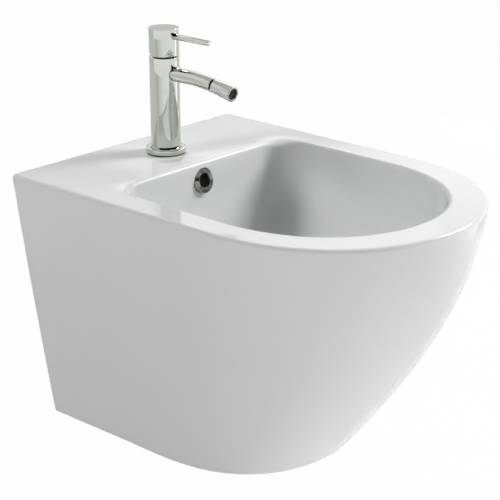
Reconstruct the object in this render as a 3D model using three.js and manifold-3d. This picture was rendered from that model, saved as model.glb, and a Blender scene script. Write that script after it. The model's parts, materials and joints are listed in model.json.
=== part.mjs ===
import * as THREE from 'three';
import { mergeVertices } from 'three/addons/utils/BufferGeometryUtils.js';
import Module from 'manifold-3d';

// Wall hung bidet with a one-hole mixer tap, in millimetres, +Z up.
// The origin lies on the wall face, midway between the two wall studs, and the front faces -Y.
// Depths and heights of the ceramic and of the tap are counted from the rim plane.

const wasm = await Module();
wasm.setup();

// Clearances
const seatGap = 0.2;
const fitGap = 0.3;
const overrun = 20;

// Ceramic at the rim plane
const rimAboveStuds = 80;
const wallHalfWidth = 180;
const sideHalfWidth = 175.7;
const noseStart = 285.8;
const bodyLength = 480.3;
const nosePower = 2.289;
const rimEdgeRadius = 4.5;

// Ceramic at its bottom edge
const bodyHeight = 312.6;
const bottomWallHalfWidth = 133.9;
const bottomSideHalfWidth = 130.7;
const bottomNoseStart = 125.5;
const bottomLength = 319.3;
const bottomNosePower = 3.382;
const bottomEdgeRadius = 5;

// How the sides and the nose draw in between the rim and the bottom edge
const sideSwellShare = -0.119;
const noseSlopeShare = 0.103;
const noseCurveShare = 1.248;

// Ceramic walls
const skirtWall = 11;
const deckThickness = 14;
const rearWall = 18;

// Bowl
const bowlHalfWidth = 141.7;
const bowlBack = 121;
const bowlCornerRadius = 40;
const bowlNoseStart = 271.4;
const bowlTip = 439.7;
const bowlNosePower = 2.441;
const bowlEdgeRadius = 6;
const bowlEdgeOutsideShare = 1 / 3;
const bowlDepth = 135;
const bowlProfilePower = 3.2;
const bowlWall = 10;

// Overflow
const overflowDepth = 23;
const overflowHoleRadius = 11;
const overflowBoreRadius = 8.5;
const overflowFlangeRadius = 14.75;
const overflowFlangeThickness = 1.3;
const overflowStepRadius = 12.6;
const overflowStepHeight = 2.3;
const overflowLipRadius = 10.6;
const overflowLipHeight = 3;
const overflowSleeveLength = 9.5;
const overflowSeatDepth = 0.2;
const ductHalfWidth = 17;
const ductDepth = 12;
const ductWall = 7;

// Waste
const wasteSetback = 235;
const wasteHoleRadius = 23;
const wasteBossRadius = 35;
const wasteBossDepth = 50;
const wasteFlangeRadius = 33;
const wasteFlangeThickness = 2.7;
const wasteFlangeFall = 0.9;
const wasteSealThickness = 1.5;
const wasteSealWidth = 9;
const wasteTubeRadius = 21;
const wasteTubeWall = 2.6;
const wasteTubeLength = 95;
const wasteSlotHalfWidth = 7;
const wasteSlotTop = 15;
const wasteSlotHeight = 16;
const spiderDepth = 40;
const spiderThickness = 4;
const spiderArmWidth = 5;
const barrelRadius = 6.5;
const barrelHeight = 26;
const barrelFoot = 6;
const stemRadius = 3;
const stemBelowSpider = 12;
const plugRadius = 30.5;
const plugRimThickness = 1.6;
const plugCrown = 3;
const plugClearance = 0.8;
const plugNeckRadius = 16.5;
const plugNeckDepth = 8;
const plugSealThickness = 2.4;
const plugSealInset = 1.8;
const coneWasherThickness = 6;
const coneWasherRadius = 30;
const wasteNutRadius = 31;
const wasteNutHeight = 12;

// Wall fixings
const studSpacing = 180;
const studRadius = 6;
const studAnchorLength = 35;
const studBeyondNut = 10;
const studHoleRadius = 8.7;
const sleeveCollarRadius = 13;
const sleeveCollarThickness = 3;
const studWasherRadius = 14;
const studWasherThickness = 2.5;
const studNutAcrossFlats = 19;
const studNutHeight = 10;

// Opening in the rear wall for the pipes
const pipeGateHalfWidth = 70;
const pipeGateTop = 125;
const pipeGateCornerRadius = 25;

// Tap column
const tapSetback = 65.1;
const tapHoleRadius = 17.5;
const columnRadius = 17.75;
const columnTop = 114.9;
const columnEdge = 0.5;
const baseRingRadius = 23.4;
const baseRingHeight = 5.4;
const baseRingEdge = 0.7;
const baseRingFloor = 2;
const baseRingBoreRadius = 14.2;
const baseGasketThickness = 1;
const chamberRadius = 13.6;
const chamberFloor = 80;
const inletRadius = 4.2;
const inletOffset = 7.2;
const inletForward = 3.5;
const inletSeatRadius = 5.4;
const inletSeatDepth = 4;

// Tap fixing under the deck
const tapStudRadius = 3.9;
const tapStudBack = 8;
const tapStudInColumn = 12;
const tapStudLength = 60;
const horseshoeRadius = 24;
const horseshoeSlotHalfWidth = 12.4;
const horseshoeSlotEnd = 1.5;
const horseshoeGasketThickness = 2;
const horseshoeWasherThickness = 2;
const tapNutAcrossFlats = 13;
const tapNutHeight = 6.5;

// Cartridge
const cartridgeRadius = 12.3;
const cartridgeSealThickness = 1.2;
const cartridgeSealBore = 3;
const cartridgeShoulder = 108;
const cartridgeNeckRadius = 10.6;
const cartridgeInletRadius = 3.2;
const cartridgeInletDepth = 10;
const rotorRadius = 8.6;
const rotorHeight = 9;
const rotorAbovePivot = 2.25;
const rotorSlotClearance = 1.2;
const pivotHeight = 112;
const pinRadius = 1.2;
const spindleHalfWidth = 3;
const spindleHalfDepth = 3.4;
const spindleBelowPivot = 3;
const spindleInCap = 12;
const spindleSlotHalfDepth = 5.6;
const nutAboveColumn = 2;

// Handle
const capGap = 1.6;
const capTop = 148;
const capEdge = 0.6;
const capWall = 2.2;
const capHeadDepth = 17;
const capBevelAngle = 20 * Math.PI / 180;
const leverRadius = 3.4;
const leverHeight = 139.6;
const leverReach = 68.9;
const leverInCap = 8;
const leverEdge = 0.5;
const grubRadius = 2.4;

// Spout
const spoutRadius = 8.2;
const spoutWall = 2;
const spoutHeight = 95.75;
const spoutStraight = 42.2;
const spoutBendRadius = 197;
const spoutBendAngle = 10.2 * Math.PI / 180;

// Swivel nozzle
const nozzleGap = 1.5;
const nozzleLength = 29.3;
const nozzleEndRadius = 8.9;
const nozzleEdge = 0.5;
const ballRadius = 5;
const ballSetback = 6;
const ballStemRadius = 2.8;
const ballBoreRadius = 1.5;
const ballStemInSpout = 6;
const socketRadius = 6.8;
const socketLipRadius = 4.5;
const socketLipDepth = 3;
const swivelSealThickness = 1.05;
const swivelSealHalfHeight = 1;
const swivelSeatForward = 3.9;
const swivelSeatLength = 2.6;
const swivelSeatBore = 3.5;
const aeratorRadius = 7.2;
const aeratorLength = 8;
const aeratorInset = 1.2;
const aeratorHoleRadius = 0.9;
const aeratorHoleCircle = 4.3;
const aeratorHoleCount = 6;

// Fineness of the round shapes
const noseSteps = 14;
const sideSteps = 3;
const cornerSteps = 4;
const heightSteps = 12;
const edgeSteps = 3;
const bowlSteps = 11;
const columnSides = 32;
const partSides = 24;
const smallSides = 16;
const holeSides = 8;
const ballSteps = 8;

const glazed = new THREE.MeshStandardMaterial({ color: 0xf0f1f1, roughness: 0.08, metalness: 0 });
const chrome = new THREE.MeshStandardMaterial({ color: 0xc8cbc6, roughness: 0.06, metalness: 1 });
const brass = new THREE.MeshStandardMaterial({ color: 0xb08d4c, roughness: 0.35, metalness: 1 });
const steel = new THREE.MeshStandardMaterial({ color: 0xa9acb0, roughness: 0.35, metalness: 1 });
const rubber = new THREE.MeshStandardMaterial({ color: 0x1d1d1e, roughness: 0.8, metalness: 0 });
const whitePlastic = new THREE.MeshStandardMaterial({ color: 0xe4e4e0, roughness: 0.5, metalness: 0 });
const darkPlastic = new THREE.MeshStandardMaterial({ color: 0x2b2c2e, roughness: 0.5, metalness: 0 });

const mix = THREE.MathUtils.lerp;
const quarterTurn = Math.PI / 2;

// A closed geometry as a solid that can be joined and cut
function solid(geometry) {
  const bare = geometry.index ? geometry.clone() : geometry;
  bare.deleteAttribute('normal');
  bare.deleteAttribute('uv');
  const merged = mergeVertices(bare);
  return new wasm.Manifold(new wasm.Mesh({
    numProp: 3,
    vertProperties: new Float32Array(merged.attributes.position.array),
    triVerts: new Uint32Array(merged.index.array),
  }));
}

function geometryOf(body) {
  const mesh = body.getMesh();
  const geometry = new THREE.BufferGeometry();
  geometry.setAttribute('position', new THREE.BufferAttribute(mesh.vertProperties, 3));
  geometry.setIndex(new THREE.BufferAttribute(mesh.triVerts, 1));
  const faceted = geometry.toNonIndexed();
  faceted.computeVertexNormals();
  return faceted;
}

// A shape turned about +Z; the profile is a list of [radius, height]
function turned(profile, sides = partSides) {
  const points = profile.map(([radius, height]) => new THREE.Vector2(radius, height));
  return new THREE.LatheGeometry(points, sides).rotateX(quarterTurn);
}

function disc(radius, low, high, sides) {
  return turned([[0, low], [radius, low], [radius, high], [0, high]], sides);
}

function ring(inner, outer, low, high, sides) {
  return turned([[inner, low], [outer, low], [outer, high], [inner, high], [inner, low]], sides);
}

function block(halfWidth, back, front, low, high) {
  return new THREE.BoxGeometry(2 * halfWidth, front - back, high - low)
    .translate(0, (back + front) / 2, (low + high) / 2);
}

function hexNut(acrossFlats, boreRadius, height) {
  const shape = new THREE.Shape();
  for (let corner = 0; corner < 6; corner++) {
    const angle = corner * Math.PI / 3;
    const reach = acrossFlats / Math.sqrt(3);
    const place = [reach * Math.cos(angle), reach * Math.sin(angle)];
    if (corner === 0) shape.moveTo(...place);
    else shape.lineTo(...place);
  }
  shape.closePath();
  shape.holes.push(new THREE.Path().absarc(0, 0, boreRadius, 0, 2 * Math.PI, true));
  return new THREE.ExtrudeGeometry(shape, { depth: height, bevelEnabled: false, curveSegments: smallSides });
}

// Closed skin through rings of points that all have the same count, with a fan at each end
function skin(rings, firstCentre, lastCentre) {
  const count = rings[0].length;
  const places = [...rings.flat(), firstCentre, lastCentre];
  const faces = [];
  const first = places.length - 2;
  const last = places.length - 1;
  for (let row = 0; row < rings.length - 1; row++) {
    for (let k = 0; k < count; k++) {
      const next = (k + 1) % count;
      const a = row * count + k;
      const b = row * count + next;
      faces.push(a, b, a + count, b, b + count, a + count);
    }
  }
  const lastRow = (rings.length - 1) * count;
  for (let k = 0; k < count; k++) {
    const next = (k + 1) % count;
    faces.push(first, next, k);
    faces.push(last, lastRow + k, lastRow + next);
  }
  const geometry = new THREE.BufferGeometry();
  geometry.setAttribute('position', new THREE.Float32BufferAttribute(places.flat(), 3));
  geometry.setIndex(faces);
  return geometry;
}

// Half of a nose curve: the width follows the square root of one less a power of the reach
function noseHalf(halfWidth, start, tip, power) {
  const points = [];
  for (let k = 0; k <= noseSteps; k++) {
    const angle = quarterTurn * (k / noseSteps) ** (power / 2);
    const reach = Math.sin(angle) ** (2 / power);
    points.push([halfWidth * Math.cos(angle), -mix(start, tip, reach)]);
  }
  points[noseSteps][0] = 0;
  return points;
}

// A half outline from the back to the tip, completed by its mirror image
function mirrored(half) {
  const other = half.slice(0, -1).reverse().map(([x, y]) => [-x, y]);
  return [...half, ...other];
}

// Plan of the ceramic at a share of the height, 0 at the rim and 1 at the bottom edge
function bodyOutline(share, sideInset, noseInset, back) {
  const draw = share + sideSwellShare * share * (1 - share);
  const noseBendShare = 1 - noseSlopeShare - noseCurveShare;
  const noseDraw = noseSlopeShare * share + noseCurveShare * share ** 2 + noseBendShare * share ** 3;
  const wallHalf = mix(wallHalfWidth, bottomWallHalfWidth, draw) - sideInset;
  const sideHalf = mix(sideHalfWidth, bottomSideHalfWidth, draw) - sideInset;
  const start = mix(noseStart, bottomNoseStart, share);
  const tip = mix(bodyLength, bottomLength, noseDraw) - noseInset;
  const half = [];
  for (let k = 0; k < sideSteps; k++) {
    const y = mix(back, start, k / sideSteps);
    half.push([mix(wallHalf, sideHalf, y / start), -y]);
  }
  half.push(...noseHalf(sideHalf, start, tip, mix(nosePower, bottomNosePower, share)));
  return mirrored(half);
}

// How far a wall of unit thickness reaches along the nose, which leans more towards the bottom
function noseLean(share) {
  const noseBendShare = 1 - noseSlopeShare - noseCurveShare;
  const slopeShare = noseSlopeShare + 2 * noseCurveShare * share + 3 * noseBendShare * share ** 2;
  return Math.hypot(1, (bodyLength - bottomLength) * slopeShare / bodyHeight);
}

function atDepth(outline, depth) {
  return outline.map(([x, y]) => [x, y, rimAboveStuds - depth]);
}

function bodyOuter() {
  const rings = [];
  const add = (depth, inset) => {
    rings.push(atDepth(bodyOutline(depth / bodyHeight, inset, inset, 0), depth));
  };
  for (let k = 0; k < edgeSteps; k++) {
    const angle = quarterTurn * k / edgeSteps;
    add(rimEdgeRadius * (1 - Math.cos(angle)), rimEdgeRadius * (1 - Math.sin(angle)));
  }
  for (let k = 0; k <= heightSteps; k++) {
    add(mix(rimEdgeRadius, bodyHeight - bottomEdgeRadius, k / heightSteps), 0);
  }
  for (let k = 1; k <= edgeSteps; k++) {
    const angle = quarterTurn * k / edgeSteps;
    add(bodyHeight - bottomEdgeRadius * (1 - Math.sin(angle)), bottomEdgeRadius * (1 - Math.cos(angle)));
  }
  const top = [0, -noseStart, rimAboveStuds];
  const bottom = [0, -bottomNoseStart, rimAboveStuds - bodyHeight];
  return solid(skin(rings, top, bottom));
}

function bodyHollow() {
  const rings = [];
  for (let k = 0; k <= heightSteps; k++) {
    const depth = mix(deckThickness, bodyHeight, k / heightSteps);
    const share = depth / bodyHeight;
    rings.push(atDepth(bodyOutline(share, skirtWall, skirtWall * noseLean(share), rearWall), depth));
  }
  rings.push(atDepth(bodyOutline(1, skirtWall, skirtWall * noseLean(1), rearWall), bodyHeight + overrun));
  const top = [0, -noseStart, rimAboveStuds - deckThickness];
  const bottom = [0, -bottomNoseStart, rimAboveStuds - bodyHeight - overrun];
  return solid(skin(rings, top, bottom));
}

// Plan of the bowl, grown outwards by some millimetres and drawn in towards the waste by a share
function bowlOutline(grow, scaleShare) {
  const halfWidth = bowlHalfWidth + grow;
  const back = bowlBack - grow;
  const corner = bowlCornerRadius + grow;
  const half = [];
  for (let k = 0; k <= cornerSteps; k++) {
    const angle = quarterTurn * k / cornerSteps;
    half.push([
      halfWidth - corner * (1 - Math.sin(angle)),
      -(back + corner * (1 - Math.cos(angle))),
    ]);
  }
  half.push(...noseHalf(halfWidth, bowlNoseStart, bowlTip + grow, bowlNosePower));
  return mirrored(half).map(([x, y]) => [x * scaleShare, -wasteSetback + (y + wasteSetback) * scaleShare]);
}

// The bowl's inside, or with a thickness its outside, from a level down to the floor
function bowlForm(thickness, edge) {
  const wallGrow = thickness - bowlEdgeRadius * (1 - bowlEdgeOutsideShare);
  const rings = [];
  if (edge) {
    const lip = bowlEdgeRadius * bowlEdgeOutsideShare;
    rings.push(atDepth(bowlOutline(lip, 1), -overrun));
    for (let k = 0; k < edgeSteps; k++) {
      const angle = quarterTurn * k / edgeSteps;
      const depth = bowlEdgeRadius * (1 - Math.cos(angle));
      rings.push(atDepth(bowlOutline(lip - bowlEdgeRadius * Math.sin(angle), 1), depth));
    }
  }
  const start = edge ? bowlEdgeRadius : deckThickness / 2;
  const floor = bowlDepth + thickness;
  for (let k = 0; k < bowlSteps; k++) {
    const angle = quarterTurn * k / bowlSteps;
    const depthShare = Math.sin(angle) ** (2 / bowlProfilePower);
    const widthShare = Math.cos(angle) ** (2 / bowlProfilePower);
    rings.push(atDepth(bowlOutline(wallGrow, widthShare), mix(start, floor, depthShare)));
  }
  const top = [0, -wasteSetback, rings[0][0][2]];
  const bottom = [0, -wasteSetback, rimAboveStuds - floor];
  return solid(skin(rings, top, bottom));
}

// Rear wall of the bowl at a depth, counted from the wall face
function bowlBackAt(depth) {
  const back = bowlBack + bowlEdgeRadius * (1 - bowlEdgeOutsideShare);
  const depthShare = (depth - bowlEdgeRadius) / (bowlDepth - bowlEdgeRadius);
  const widthShare = (1 - depthShare ** bowlProfilePower) ** (1 / bowlProfilePower);
  return wasteSetback - (wasteSetback - back) * widthShare;
}

const overflowSeat = bowlBackAt(overflowDepth - overflowFlangeRadius) - overflowSeatDepth;
const overflowAxisHeight = rimAboveStuds - overflowDepth;
const bowlFloorHeight = rimAboveStuds - bowlDepth;
const wasteRecess = seatGap + wasteSealThickness + seatGap + wasteFlangeThickness;

// Turns a shape that points along +Z so that it points along -Y
function forward(geometry) {
  return geometry.rotateX(quarterTurn);
}

function bidetBody() {
  const ductTop = overflowDepth - overflowHoleRadius - ductWall;
  const ductCase = (halfWidth, grow, depth) => bowlForm(grow, false).intersect(
    solid(block(halfWidth, -wasteSetback, -rearWall, -bodyHeight, rimAboveStuds - depth)));
  const bowlOutside = bowlForm(bowlWall, false);
  const duct = ductCase(ductHalfWidth, bowlWall + ductDepth, ductTop + ductWall).subtract(bowlOutside);
  const ductShell = ductCase(ductHalfWidth + ductWall, bowlWall + ductDepth + ductWall, deckThickness / 2);
  const boss = solid(disc(wasteBossRadius, 0, wasteBossDepth, partSides)
    .translate(0, -wasteSetback, bowlFloorHeight - wasteBossDepth));
  let body = bodyOuter().subtract(bodyHollow());
  body = body.add(bowlOutside).add(ductShell).add(boss).subtract(bowlForm(0, true)).subtract(duct);

  const tapHole = disc(tapHoleRadius, -deckThickness - overrun, overrun, columnSides);
  body = body.subtract(solid(tapHole.translate(0, -tapSetback, rimAboveStuds)));

  const overflowHole = forward(disc(overflowHoleRadius, 0, bowlWall + ductDepth / 2 + overrun, partSides));
  body = body.subtract(solid(overflowHole
    .translate(0, -overflowSeat + bowlWall + ductDepth / 2, overflowAxisHeight)));
  const overflowSpot = forward(disc(overflowFlangeRadius + fitGap, 0, overrun, partSides));
  body = body.subtract(solid(overflowSpot.translate(0, -overflowSeat, overflowAxisHeight)));

  const wasteHole = disc(wasteHoleRadius, -wasteBossDepth - overrun, overrun, partSides);
  body = body.subtract(solid(wasteHole.translate(0, -wasteSetback, bowlFloorHeight)));
  const wasteSpot = disc(wasteFlangeRadius + fitGap, -wasteRecess, overrun, columnSides);
  body = body.subtract(solid(wasteSpot.translate(0, -wasteSetback, bowlFloorHeight)));

  for (const side of [-1, 1]) {
    const studHole = forward(disc(studHoleRadius, -overrun, rearWall + overrun, partSides));
    body = body.subtract(solid(studHole.translate(side * studSpacing / 2, 0, 0)));
  }

  const gate = new THREE.Shape();
  const gateTop = rimAboveStuds - pipeGateTop;
  const gateBottom = rimAboveStuds - bodyHeight - overrun;
  const straight = pipeGateHalfWidth - pipeGateCornerRadius;
  gate.moveTo(-pipeGateHalfWidth, gateBottom);
  gate.lineTo(pipeGateHalfWidth, gateBottom);
  gate.absarc(straight, gateTop - pipeGateCornerRadius, pipeGateCornerRadius, 0, quarterTurn);
  gate.absarc(-straight, gateTop - pipeGateCornerRadius, pipeGateCornerRadius, quarterTurn, Math.PI);
  gate.closePath();
  const gateCut = new THREE.ExtrudeGeometry(gate, {
    depth: rearWall + 2 * seatGap,
    bevelEnabled: false,
    curveSegments: cornerSteps,
  });
  return geometryOf(body.subtract(solid(gateCut.rotateX(quarterTurn).translate(0, seatGap, 0))));
}

function overflowRing() {
  const profile = [
    [overflowBoreRadius, -overflowSleeveLength],
    [overflowHoleRadius - fitGap, -overflowSleeveLength],
    [overflowHoleRadius - fitGap, seatGap],
    [overflowFlangeRadius, seatGap],
    [overflowFlangeRadius, seatGap + overflowFlangeThickness],
    [overflowStepRadius, seatGap + overflowFlangeThickness],
    [overflowStepRadius, seatGap + overflowStepHeight],
    [overflowLipRadius, seatGap + overflowStepHeight],
    [overflowLipRadius, seatGap + overflowLipHeight],
    [overflowBoreRadius, seatGap + overflowLipHeight],
    [overflowBoreRadius, -overflowSleeveLength],
  ];
  return forward(turned(profile));
}

// Waste fitting: heights are counted from the bowl's floor
const flangeBottom = -wasteFlangeThickness;
const tubeBore = wasteTubeRadius - wasteTubeWall;
const tubeEnd = flangeBottom - wasteTubeLength;

function wasteBody() {
  const profile = [
    [tubeBore, tubeEnd],
    [wasteTubeRadius, tubeEnd],
    [wasteTubeRadius, flangeBottom],
    [wasteFlangeRadius, flangeBottom],
    [wasteFlangeRadius, -wasteFlangeFall],
    [wasteFlangeRadius - wasteFlangeThickness, 0],
    [tubeBore, -wasteFlangeFall],
    [tubeBore, tubeEnd],
  ];
  let body = solid(turned(profile));
  const arm = new THREE.BoxGeometry(2 * tubeBore + wasteTubeWall, spiderArmWidth, spiderThickness);
  const hub = disc(barrelRadius, -spiderThickness / 2, spiderThickness / 2, smallSides);
  const spider = solid(arm.clone()).add(solid(arm.rotateZ(quarterTurn))).add(solid(hub));
  body = body.add(spider.translate([0, 0, -spiderDepth]));
  const stemBore = disc(stemRadius + fitGap, -spiderDepth - overrun, -spiderDepth + overrun, smallSides);
  body = body.subtract(solid(stemBore));
  const slots = block(wasteSlotHalfWidth, -wasteTubeRadius - overrun, wasteTubeRadius + overrun,
    -wasteSlotTop - wasteSlotHeight, -wasteSlotTop);
  return geometryOf(body.subtract(solid(slots)));
}

function wasteSeal() {
  const low = -wasteRecess + seatGap;
  return ring(wasteFlangeRadius - wasteSealWidth, wasteFlangeRadius - fitGap, low, low + wasteSealThickness);
}

const coneTop = -wasteBossDepth - seatGap;

function wasteConeWasher() {
  const bore = wasteTubeRadius + fitGap;
  const low = coneTop - coneWasherThickness;
  return turned([
    [bore, low],
    [coneWasherRadius, low],
    [coneWasherRadius, (low + coneTop) / 2],
    [(bore + coneWasherRadius) / 2, coneTop],
    [bore, coneTop],
    [bore, low],
  ]);
}

function wasteNut() {
  const top = coneTop - coneWasherThickness - seatGap;
  return ring(wasteTubeRadius + fitGap, wasteNutRadius, top - wasteNutHeight, top);
}

const barrelLow = -spiderDepth + spiderThickness / 2 + seatGap;

function clickBarrel() {
  const bore = stemRadius + fitGap;
  return ring(bore, barrelRadius, barrelLow, barrelLow + barrelHeight, smallSides);
}

const plugLow = plugClearance;

function wastePlug() {
  const rim = plugLow + plugRimThickness;
  const groove = -plugNeckDepth / 2;
  const sealSeat = plugNeckRadius - plugSealInset;
  const crown = [];
  for (let k = 0; k < edgeSteps; k++) {
    const angle = quarterTurn * k / edgeSteps;
    crown.push([plugRadius * Math.cos(angle), mix(rim, rim + plugCrown, Math.sin(angle))]);
  }
  return turned([
    [0, -plugNeckDepth],
    [plugNeckRadius, -plugNeckDepth],
    [plugNeckRadius, groove - plugSealThickness / 2 - seatGap],
    [sealSeat, groove - plugSealThickness / 2 - seatGap],
    [sealSeat, groove + plugSealThickness / 2 + seatGap],
    [plugNeckRadius, groove + plugSealThickness / 2 + seatGap],
    [plugNeckRadius, plugLow],
    [plugRadius, plugLow],
    ...crown,
    [0, rim + plugCrown],
  ]);
}

function plugSeal() {
  const middle = -plugNeckDepth / 2;
  return ring(plugNeckRadius - plugSealInset + seatGap, tubeBore - fitGap,
    middle - plugSealThickness / 2, middle + plugSealThickness / 2);
}

function plugStem() {
  return disc(stemRadius, -spiderDepth - stemBelowSpider, -plugNeckDepth - seatGap, smallSides);
}

// Tap: heights are counted from the rim plane, and the axis is the column's
const gasketLow = seatGap;
const baseLow = gasketLow + baseGasketThickness + seatGap;
const baseTop = baseLow + baseRingHeight;
const columnFoot = baseLow + baseRingFloor + seatGap;
const deckUnderside = -deckThickness;

function baseGasket() {
  const gasketTop = gasketLow + baseGasketThickness;
  return ring(tapHoleRadius + fitGap, baseRingRadius - baseRingEdge, gasketLow, gasketTop);
}

function baseRing() {
  const inner = columnRadius + fitGap;
  const floor = baseLow + baseRingFloor;
  return turned([
    [baseRingBoreRadius, baseLow],
    [baseRingRadius, baseLow],
    [baseRingRadius, baseTop - baseRingEdge],
    [baseRingRadius - baseRingEdge, baseTop],
    [inner, baseTop],
    [inner, floor],
    [baseRingBoreRadius, floor],
    [baseRingBoreRadius, baseLow],
  ], columnSides);
}

function tapBody() {
  const outer = [
    [0, columnFoot],
    [columnRadius, columnFoot],
    [columnRadius, columnTop - columnEdge],
    [columnRadius - columnEdge, columnTop],
    [0, columnTop],
  ];
  let body = solid(turned(outer, columnSides));
  body = body.subtract(solid(disc(chamberRadius, chamberFloor, columnTop + overrun, columnSides)));
  for (const side of [-1, 1]) {
    const inlet = disc(inletRadius, 0, chamberFloor + seatGap, smallSides);
    const inletSeat = disc(inletSeatRadius, 0, columnFoot + inletSeatDepth, smallSides);
    for (const bore of [inlet, inletSeat]) {
      body = body.subtract(solid(bore.translate(side * inletOffset, -inletForward, 0)));
    }
  }
  const studHole = disc(tapStudRadius + fitGap, 0, columnFoot + tapStudInColumn, smallSides);
  body = body.subtract(solid(studHole.translate(0, tapStudBack, 0)));
  const spoutSocket = forward(disc(spoutRadius + fitGap, 0, columnRadius + overrun, partSides));
  return geometryOf(body.subtract(solid(spoutSocket.translate(0, 0, spoutHeight))));
}

const tapStudTop = columnFoot + tapStudInColumn - seatGap;

function tapStud() {
  return disc(tapStudRadius, tapStudTop - tapStudLength, tapStudTop, smallSides)
    .translate(0, tapStudBack, 0);
}

// A horseshoe that lets the supply lines through its slot and the stud through its hole
function horseshoe(thickness, top) {
  const slotReach = Math.sqrt(horseshoeRadius ** 2 - horseshoeSlotHalfWidth ** 2);
  const mouth = Math.atan2(-slotReach, horseshoeSlotHalfWidth);
  const shape = new THREE.Shape();
  shape.absarc(0, 0, horseshoeRadius, mouth, Math.PI - mouth);
  shape.lineTo(-horseshoeSlotHalfWidth, horseshoeSlotEnd);
  shape.lineTo(horseshoeSlotHalfWidth, horseshoeSlotEnd);
  shape.closePath();
  shape.holes.push(new THREE.Path().absarc(0, tapStudBack, tapStudRadius + fitGap, 0, 2 * Math.PI, true));
  const plate = new THREE.ExtrudeGeometry(shape, {
    depth: thickness,
    bevelEnabled: false,
    curveSegments: smallSides,
  });
  return plate.translate(0, 0, top - thickness);
}

const horseshoeGasketTop = deckUnderside - seatGap;
const horseshoeWasherTop = horseshoeGasketTop - horseshoeGasketThickness - seatGap;
const tapNutTop = horseshoeWasherTop - horseshoeWasherThickness - seatGap;

// Cartridge, in the chamber of the column
const cartridgeLow = chamberFloor + seatGap + cartridgeSealThickness + seatGap;
const rotorTop = pivotHeight + rotorAbovePivot;
const rotorLow = rotorTop - rotorHeight;

function cartridgeBody() {
  let body = solid(turned([
    [0, cartridgeLow],
    [cartridgeRadius, cartridgeLow],
    [cartridgeRadius, cartridgeShoulder],
    [cartridgeNeckRadius, cartridgeShoulder],
    [cartridgeNeckRadius, rotorTop],
    [rotorRadius + fitGap, rotorTop],
    [rotorRadius + fitGap, rotorLow - seatGap],
    [0, rotorLow - seatGap],
  ]));
  for (const side of [-1, 1]) {
    const inlet = disc(cartridgeInletRadius, -overrun, cartridgeInletDepth, smallSides);
    body = body.subtract(solid(inlet.translate(side * inletOffset, -inletForward, cartridgeLow)));
  }
  return geometryOf(body);
}

function cartridgeSeal() {
  return ring(cartridgeSealBore, cartridgeRadius - fitGap, chamberFloor + seatGap,
    chamberFloor + seatGap + cartridgeSealThickness);
}

function cartridgeNut() {
  return ring(cartridgeNeckRadius + fitGap, chamberRadius - fitGap, cartridgeShoulder + seatGap,
    columnTop + nutAboveColumn);
}

function cartridgeRotor() {
  const slot = block(spindleHalfWidth + fitGap, -spindleSlotHalfDepth, spindleSlotHalfDepth,
    pivotHeight - spindleBelowPivot - rotorSlotClearance, rotorTop + overrun);
  const pinHole = disc(pinRadius + fitGap, -rotorRadius - overrun, rotorRadius + overrun, smallSides)
    .rotateY(quarterTurn).translate(0, 0, pivotHeight);
  const rotor = solid(disc(rotorRadius, rotorLow, rotorTop));
  return geometryOf(rotor.subtract(solid(slot)).subtract(solid(pinHole)));
}

function leverPin() {
  const reach = rotorRadius - fitGap;
  return disc(pinRadius, -reach, reach, smallSides).rotateY(quarterTurn).translate(0, 0, pivotHeight);
}

const capLow = columnTop + capGap;
const capCeiling = capTop - capHeadDepth;
const spindleTop = capCeiling + spindleInCap;

function cartridgeSpindle() {
  const bar = block(spindleHalfWidth, -spindleHalfDepth, spindleHalfDepth,
    pivotHeight - spindleBelowPivot, spindleTop);
  const pinHole = disc(pinRadius + fitGap, -overrun, overrun, smallSides)
    .rotateY(quarterTurn).translate(0, 0, pivotHeight);
  return geometryOf(solid(bar).subtract(solid(pinHole)));
}

// Handle cap, flat underneath in front and bevelled behind so that it can tip
function handleCap() {
  let cap = solid(turned([
    [0, capLow],
    [columnRadius, capLow],
    [columnRadius, capTop - capEdge],
    [columnRadius - capEdge, capTop],
    [0, capTop],
  ], columnSides));
  cap = cap.subtract(solid(disc(columnRadius - capWall, capLow - overrun, capCeiling, columnSides)));
  const wedge = block(columnRadius + overrun, 0, 2 * columnRadius + overrun, -columnRadius - overrun, 0)
    .rotateX(capBevelAngle).translate(0, 0, capLow);
  cap = cap.subtract(solid(wedge));
  const socket = block(spindleHalfWidth + fitGap, -spindleHalfDepth - fitGap, spindleHalfDepth + fitGap,
    capLow, spindleTop + fitGap);
  cap = cap.subtract(solid(socket));
  const leverHole = disc(leverRadius + fitGap, columnRadius - leverInCap, columnRadius + overrun, smallSides);
  cap = cap.subtract(solid(forward(leverHole).translate(0, 0, leverHeight)));
  const grubHole = forward(disc(grubRadius + fitGap, -columnRadius - overrun, 0, smallSides));
  return geometryOf(cap.subtract(solid(grubHole.translate(0, 0, leverHeight))));
}

function leverRod() {
  return forward(turned([
    [0, columnRadius - leverInCap + seatGap],
    [leverRadius, columnRadius - leverInCap + seatGap],
    [leverRadius, leverReach - leverEdge],
    [leverRadius - leverEdge, leverReach],
    [0, leverReach],
  ])).translate(0, 0, leverHeight);
}

function grubScrew() {
  return forward(disc(grubRadius, -columnRadius + capWall, -spindleHalfDepth - fitGap, smallSides))
    .translate(0, 0, leverHeight);
}

// Spout: a straight tube out of the column, then a wide bend downwards
class SpoutLine extends THREE.Curve {
  constructor(start) {
    super();
    this.start = start;
  }

  getPoint(share, target = new THREE.Vector3()) {
    const straight = spoutStraight - this.start;
    const bend = spoutBendRadius * spoutBendAngle;
    const run = share * (straight + bend);
    const angle = Math.max(run - straight, 0) / spoutBendRadius;
    const reach = this.start + Math.min(run, straight) + spoutBendRadius * Math.sin(angle);
    return target.set(0, -reach, spoutHeight - spoutBendRadius * (1 - Math.cos(angle)));
  }
}

const spoutEndReach = spoutStraight + spoutBendRadius * Math.sin(spoutBendAngle);
const spoutEndHeight = spoutHeight - spoutBendRadius * (1 - Math.cos(spoutBendAngle));

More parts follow.
